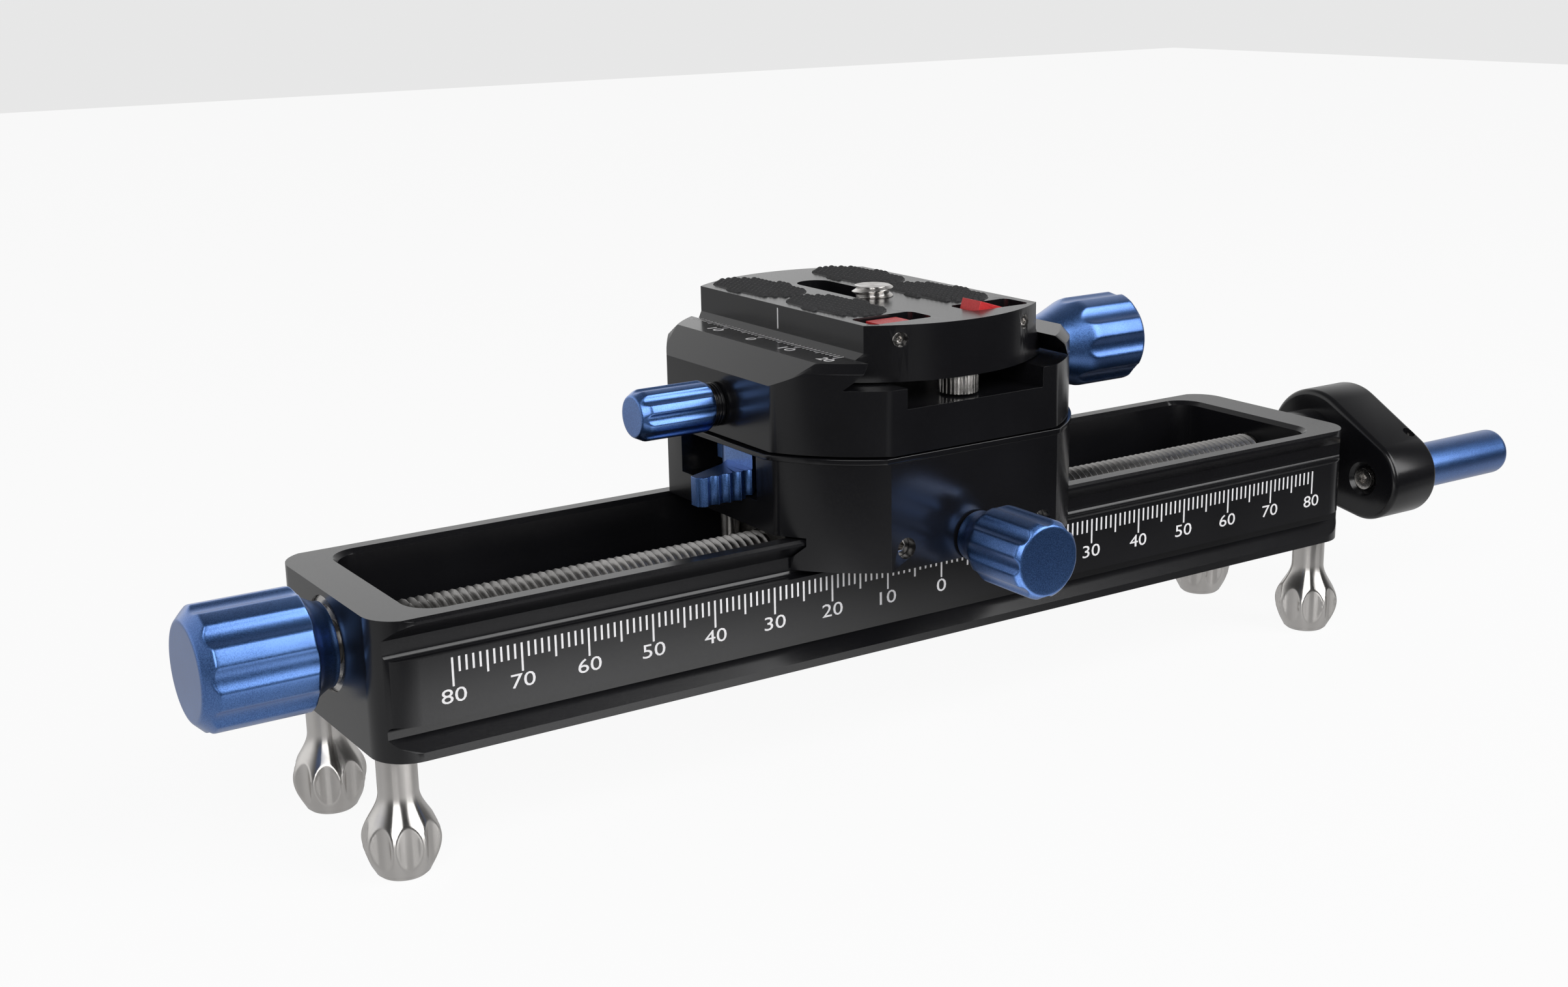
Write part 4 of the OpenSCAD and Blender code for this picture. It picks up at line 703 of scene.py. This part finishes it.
# Local +X runs to -Y and local +Y runs to +X, as a reader on the -X side sees it
cross_place = Matrix(((0, 1, 0, CROSS_X), (-1, 0, 0, CROSS_ZERO_Y), (0, 0, 1, CROSS_Z),
                      (0, 0, 0, 1)))
piece("clamp_scale", mesh_of("clamp_scale", moved(joined(*cross), cross_place), FLAT_SHARP), PRINT,
      "clamp", "black_anodised")
index = block(INDEX_X - PRINT_H, INDEX_X + PRINT_SINK, INDEX_Y - INDEX_HALF_W,
              INDEX_Y + INDEX_HALF_W, INDEX_Z0, INDEX_Z1)
piece("plate_index", mesh_of("plate_index", index, FLAT_SHARP), PRINT, "plate", "black_anodised")


# CAD nodes that stay, each with its material and the width of its bevels
WELD = 0.002
BEVEL_FROM, BEVEL_SEGMENTS = 30.0, 2
NORMAL_WEIGHT = 50
DRESSED = (
    ("rail_body", BLACK, 0.15), ("carriage_body", BLACK, 0.2), ("clamp_base", BLACK, 0.25),
    ("moving_jaw", BLACK, 0.25), ("quick_release_plate", BLACK, 0.2),
    ("release_lever", BLUE, 0.15), ("left_stop", RED, 0.08), ("right_stop", RED, 0.08),
    ("turntable_disc", BLACK_TURNED, 0.1), ("swivel_collar", BLACK_TURNED, 0.06),
    ("tripod_bush", STEEL, 0.1), ("fine_bearing", STEEL, 0.1), ("crank_bearing", STEEL, 0.1),
    ("retaining_rings", STEEL, 0.06), ("grub_screws", STEEL, 0.03),
    ("handle_axle_screw", STEEL, 0.06), ("turntable_screws", STEEL, 0.05),
    ("swivel_post", STEEL, 0.1), ("gib_strip", BRASS, 0.1), ("gib_set_screws", STEEL, 0.04),
    ("half_nut", SCREW_STEEL, 0.1), ("half_nut_pin", STAINLESS, 0.08),
    ("half_nut_spring", STEEL, 0), ("lever_pin", STEEL, 0.05), ("lock_stud", STEEL, 0.05),
    ("swivel_plug", BRASS, 0.05), ("swivel_stud", STEEL, 0.05), ("jaw_guide_pins", STEEL, 0.1),
    ("jaw_springs", STEEL, 0), ("clamp_screw", STEEL, 0.1), ("plate_set_screws", STEEL, 0.03),
    ("plate_stop_screw", STAINLESS, 0.04), ("screw_washer", STEEL, 0.05),
    ("left_stop_pin", STEEL, 0.03), ("right_stop_pin", STEEL, 0.03))


def dress(node, material, bevel):
    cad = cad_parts[node]
    cad.data.materials.clear()
    cad.data.materials.append(material)
    for polygon in cad.data.polygons:
        polygon.use_smooth = True
    weld = cad.modifiers.new("weld", "WELD")
    weld.merge_threshold = WELD * MM
    if bevel:
        edge = cad.modifiers.new("bevel", "BEVEL")
        edge.width = bevel * MM
        edge.segments = BEVEL_SEGMENTS
        edge.limit_method = "ANGLE"
        edge.angle_limit = degrees(BEVEL_FROM)
        edge.use_clamp_overlap = True
        edge.miter_outer = "MITER_ARC"
    normal = cad.modifiers.new("normal", "WEIGHTED_NORMAL")
    normal.mode = "FACE_AREA"
    normal.weight = NORMAL_WEIGHT
    normal.keep_sharp = False


for node, material, bevel in DRESSED:
    dress(node, material, bevel)


# Studio. Lengths are in metres from here on.
FLOOR_Z, FLOOR_DROP, FLOOR_SIZE = -17.3 * MM, 0.0001, 3.0
FLOOR_COLOUR = (0.80, 0.80, 0.81, 1)
WHITE = (1, 1, 1, 1)
# How much of the floor the camera sees as plain white. The rest takes the object's shadow.
FLOOR_SEEN = 0.93
# Painted reflection: how strongly the floor glows in a reflection, a bright band in front of the
# rail that fades to both ends and outwards, and a weaker glow behind. The fade towards the object
# and the weaker glow behind are painted shade for the object's shadow on the floor.
BAND_GLOW, LEFT_GLOW, RIGHT_GLOW, BACK_GLOW, OUTER_SHARE = 2.0, 0.4, 0.18, 0.5, 0.12
BAND_LEFT_X, BAND_RIGHT_X = (-0.13, -0.045), (-0.03, 0.075)
BAND_NEAR_Y, BAND_OUTER_Y = (-0.060, -0.035), (-0.100, -0.085)
# The room: light behind the object and darker in front, overhead and to the right, over these
# parts of the direction's X, Y and Z. Away from reflections it counts ROOM_LIGHT as much.
ROOM_BACK, ROOM_FRONT, ROOM_TOP_SHARE, ROOM_RIGHT_SHARE = 1.3, 0.08, 0.15, 0.6
ROOM_X, ROOM_Y, ROOM_Z = (0.35, 0.8), (-0.35, 0.45), (0.4, 0.9)
ROOM_LIGHT = 0.5
BOX_ELEVATION, BOX_DISTANCE, BOX_H, BOX_RADIANCE = 33, 0.9, 0.69, 4.0
LEFT_BOX_AZIMUTH, LEFT_BOX_W = -40, 0.46
RIGHT_BOX_AZIMUTH, RIGHT_BOX_W = 34, 0.60


def added_node(tree, kind, **values):
    """A new node with the named settings."""
    node = tree.nodes.new(kind)
    for name, value in values.items():
        setattr(node, name, value)
    return node


def ramp(tree, value, span, out_low, out_high):
    """A smooth step from out_low to out_high while value crosses the span."""
    node = added_node(tree, "ShaderNodeMapRange", interpolation_type="SMOOTHSTEP")
    for name, number in (("From Min", span[0]), ("From Max", span[1]),
                         ("To Min", out_low), ("To Max", out_high)):
        node.inputs[name].default_value = number
    tree.links.new(value, node.inputs["Value"])
    return node.outputs["Result"]


def maths(tree, operation, first, second):
    """A maths node over two sockets or numbers."""
    node = added_node(tree, "ShaderNodeMath", operation=operation)
    for slot, value in enumerate((first, second)):
        if isinstance(value, (int, float)):
            node.inputs[slot].default_value = value
        else:
            tree.links.new(value, node.inputs[slot])
    return node.outputs["Value"]


def place_parts(tree, kind):
    """The X, Y and Z sockets of one kind of texture coordinate."""
    split = added_node(tree, "ShaderNodeSeparateXYZ")
    tree.links.new(added_node(tree, "ShaderNodeTexCoord").outputs[kind], split.inputs["Vector"])
    return split.outputs["X"], split.outputs["Y"], split.outputs["Z"]


def ray_kinds(tree):
    """Light path sockets: seen by the camera, and seen in a reflection or through glass."""
    path = added_node(tree, "ShaderNodeLightPath").outputs
    return path["Is Camera Ray"], maths(tree, "MAXIMUM", path["Is Glossy Ray"],
                                        path["Is Transmission Ray"])


def make_floor():
    mesh = bpy.data.meshes.new("floor")
    half = FLOOR_SIZE / 2
    mesh.from_pydata([(half * x, half * y, 0) for x, y in CORNERS], [], [(0, 1, 2, 3)])
    floor = bpy.data.objects.new("floor", mesh)
    floor.location = (0, 0, FLOOR_Z - FLOOR_DROP)
    scene.collection.objects.link(floor)
    material = bpy.data.materials.new("floor")
    material.use_nodes = True
    tree = material.node_tree
    tree.nodes.clear()
    diffuse = added_node(tree, "ShaderNodeBsdfDiffuse")
    diffuse.inputs["Color"].default_value = FLOOR_COLOUR
    glow = added_node(tree, "ShaderNodeEmission")
    glow.inputs["Color"].default_value = WHITE
    camera_ray, mirror_ray = ray_kinds(tree)
    x, y, _ = place_parts(tree, "Object")
    # Painted reflection: the floor glows only for reflected rays, in a band whose fade towards the
    # object and weaker glow behind are painted shade
    rise = ramp(tree, x, BAND_LEFT_X, LEFT_GLOW, BAND_GLOW)
    fall = ramp(tree, x, BAND_RIGHT_X, BAND_GLOW, RIGHT_GLOW)
    inside = maths(tree, "MULTIPLY", ramp(tree, y, BAND_NEAR_Y, 1.0, 0.0),
                   ramp(tree, y, BAND_OUTER_Y, OUTER_SHARE, 1.0))
    band = maths(tree, "MULTIPLY", maths(tree, "MINIMUM", rise, fall), inside)
    painted_reflection_glow = maths(tree, "ADD", band, ramp(tree, y, BAND_NEAR_Y, 0.0, BACK_GLOW))
    strength = maths(tree, "ADD", camera_ray, maths(tree, "MULTIPLY", mirror_ray, painted_reflection_glow))
    tree.links.new(strength, glow.inputs["Strength"])
    share = maths(tree, "ADD", maths(tree, "MULTIPLY", camera_ray, FLOOR_SEEN), mirror_ray)
    mix = added_node(tree, "ShaderNodeMixShader")
    tree.links.new(share, mix.inputs["Fac"])
    tree.links.new(diffuse.outputs["BSDF"], mix.inputs[1])
    tree.links.new(glow.outputs["Emission"], mix.inputs[2])
    out = added_node(tree, "ShaderNodeOutputMaterial")
    tree.links.new(mix.outputs["Shader"], out.inputs["Surface"])
    mesh.materials.append(material)


def make_world():
    world = bpy.data.worlds.new("studio")
    scene.world = world
    world.use_nodes = True
    tree = world.node_tree
    tree.nodes.clear()
    out = added_node(tree, "ShaderNodeOutputWorld")
    background = added_node(tree, "ShaderNodeBackground")
    tree.links.new(background.outputs["Background"], out.inputs["Surface"])
    x, y, z = place_parts(tree, "Generated")
    across = maths(tree, "MULTIPLY", ramp(tree, y, ROOM_Y, ROOM_FRONT, ROOM_BACK),
                   ramp(tree, x, ROOM_X, 1.0, ROOM_RIGHT_SHARE))
    room = maths(tree, "MULTIPLY", across, ramp(tree, z, ROOM_Z, 1.0, ROOM_TOP_SHARE))
    camera_ray, mirror_ray = ray_kinds(tree)
    level = maths(tree, "MULTIPLY", room, ramp(tree, mirror_ray, (0.0, 1.0), ROOM_LIGHT, 1.0))
    unseen = maths(tree, "MULTIPLY", level, maths(tree, "SUBTRACT", 1.0, camera_ray))
    tree.links.new(maths(tree, "ADD", unseen, camera_ray), background.inputs["Strength"])


def softbox(name, azimuth, width):
    """A lamp that faces the origin from in front. Azimuth 0 is the -Y side."""
    data = bpy.data.lights.new(name, "AREA")
    data.shape = "RECTANGLE"
    data.size = width
    data.size_y = BOX_H
    data.energy = BOX_RADIANCE * math.pi * width * BOX_H
    lamp = bpy.data.objects.new(name, data)
    a, e = degrees(azimuth), degrees(BOX_ELEVATION)
    back = Vector((math.sin(a) * math.cos(e), -math.cos(a) * math.cos(e), math.sin(e)))
    lamp.location = back * BOX_DISTANCE
    lamp.rotation_mode = "QUATERNION"
    lamp.rotation_quaternion = back.to_track_quat("Z", "Y")
    scene.collection.objects.link(lamp)


make_camera()
make_floor()
make_world()
softbox("box_left", LEFT_BOX_AZIMUTH, LEFT_BOX_W)
softbox("box_right", RIGHT_BOX_AZIMUTH, RIGHT_BOX_W)
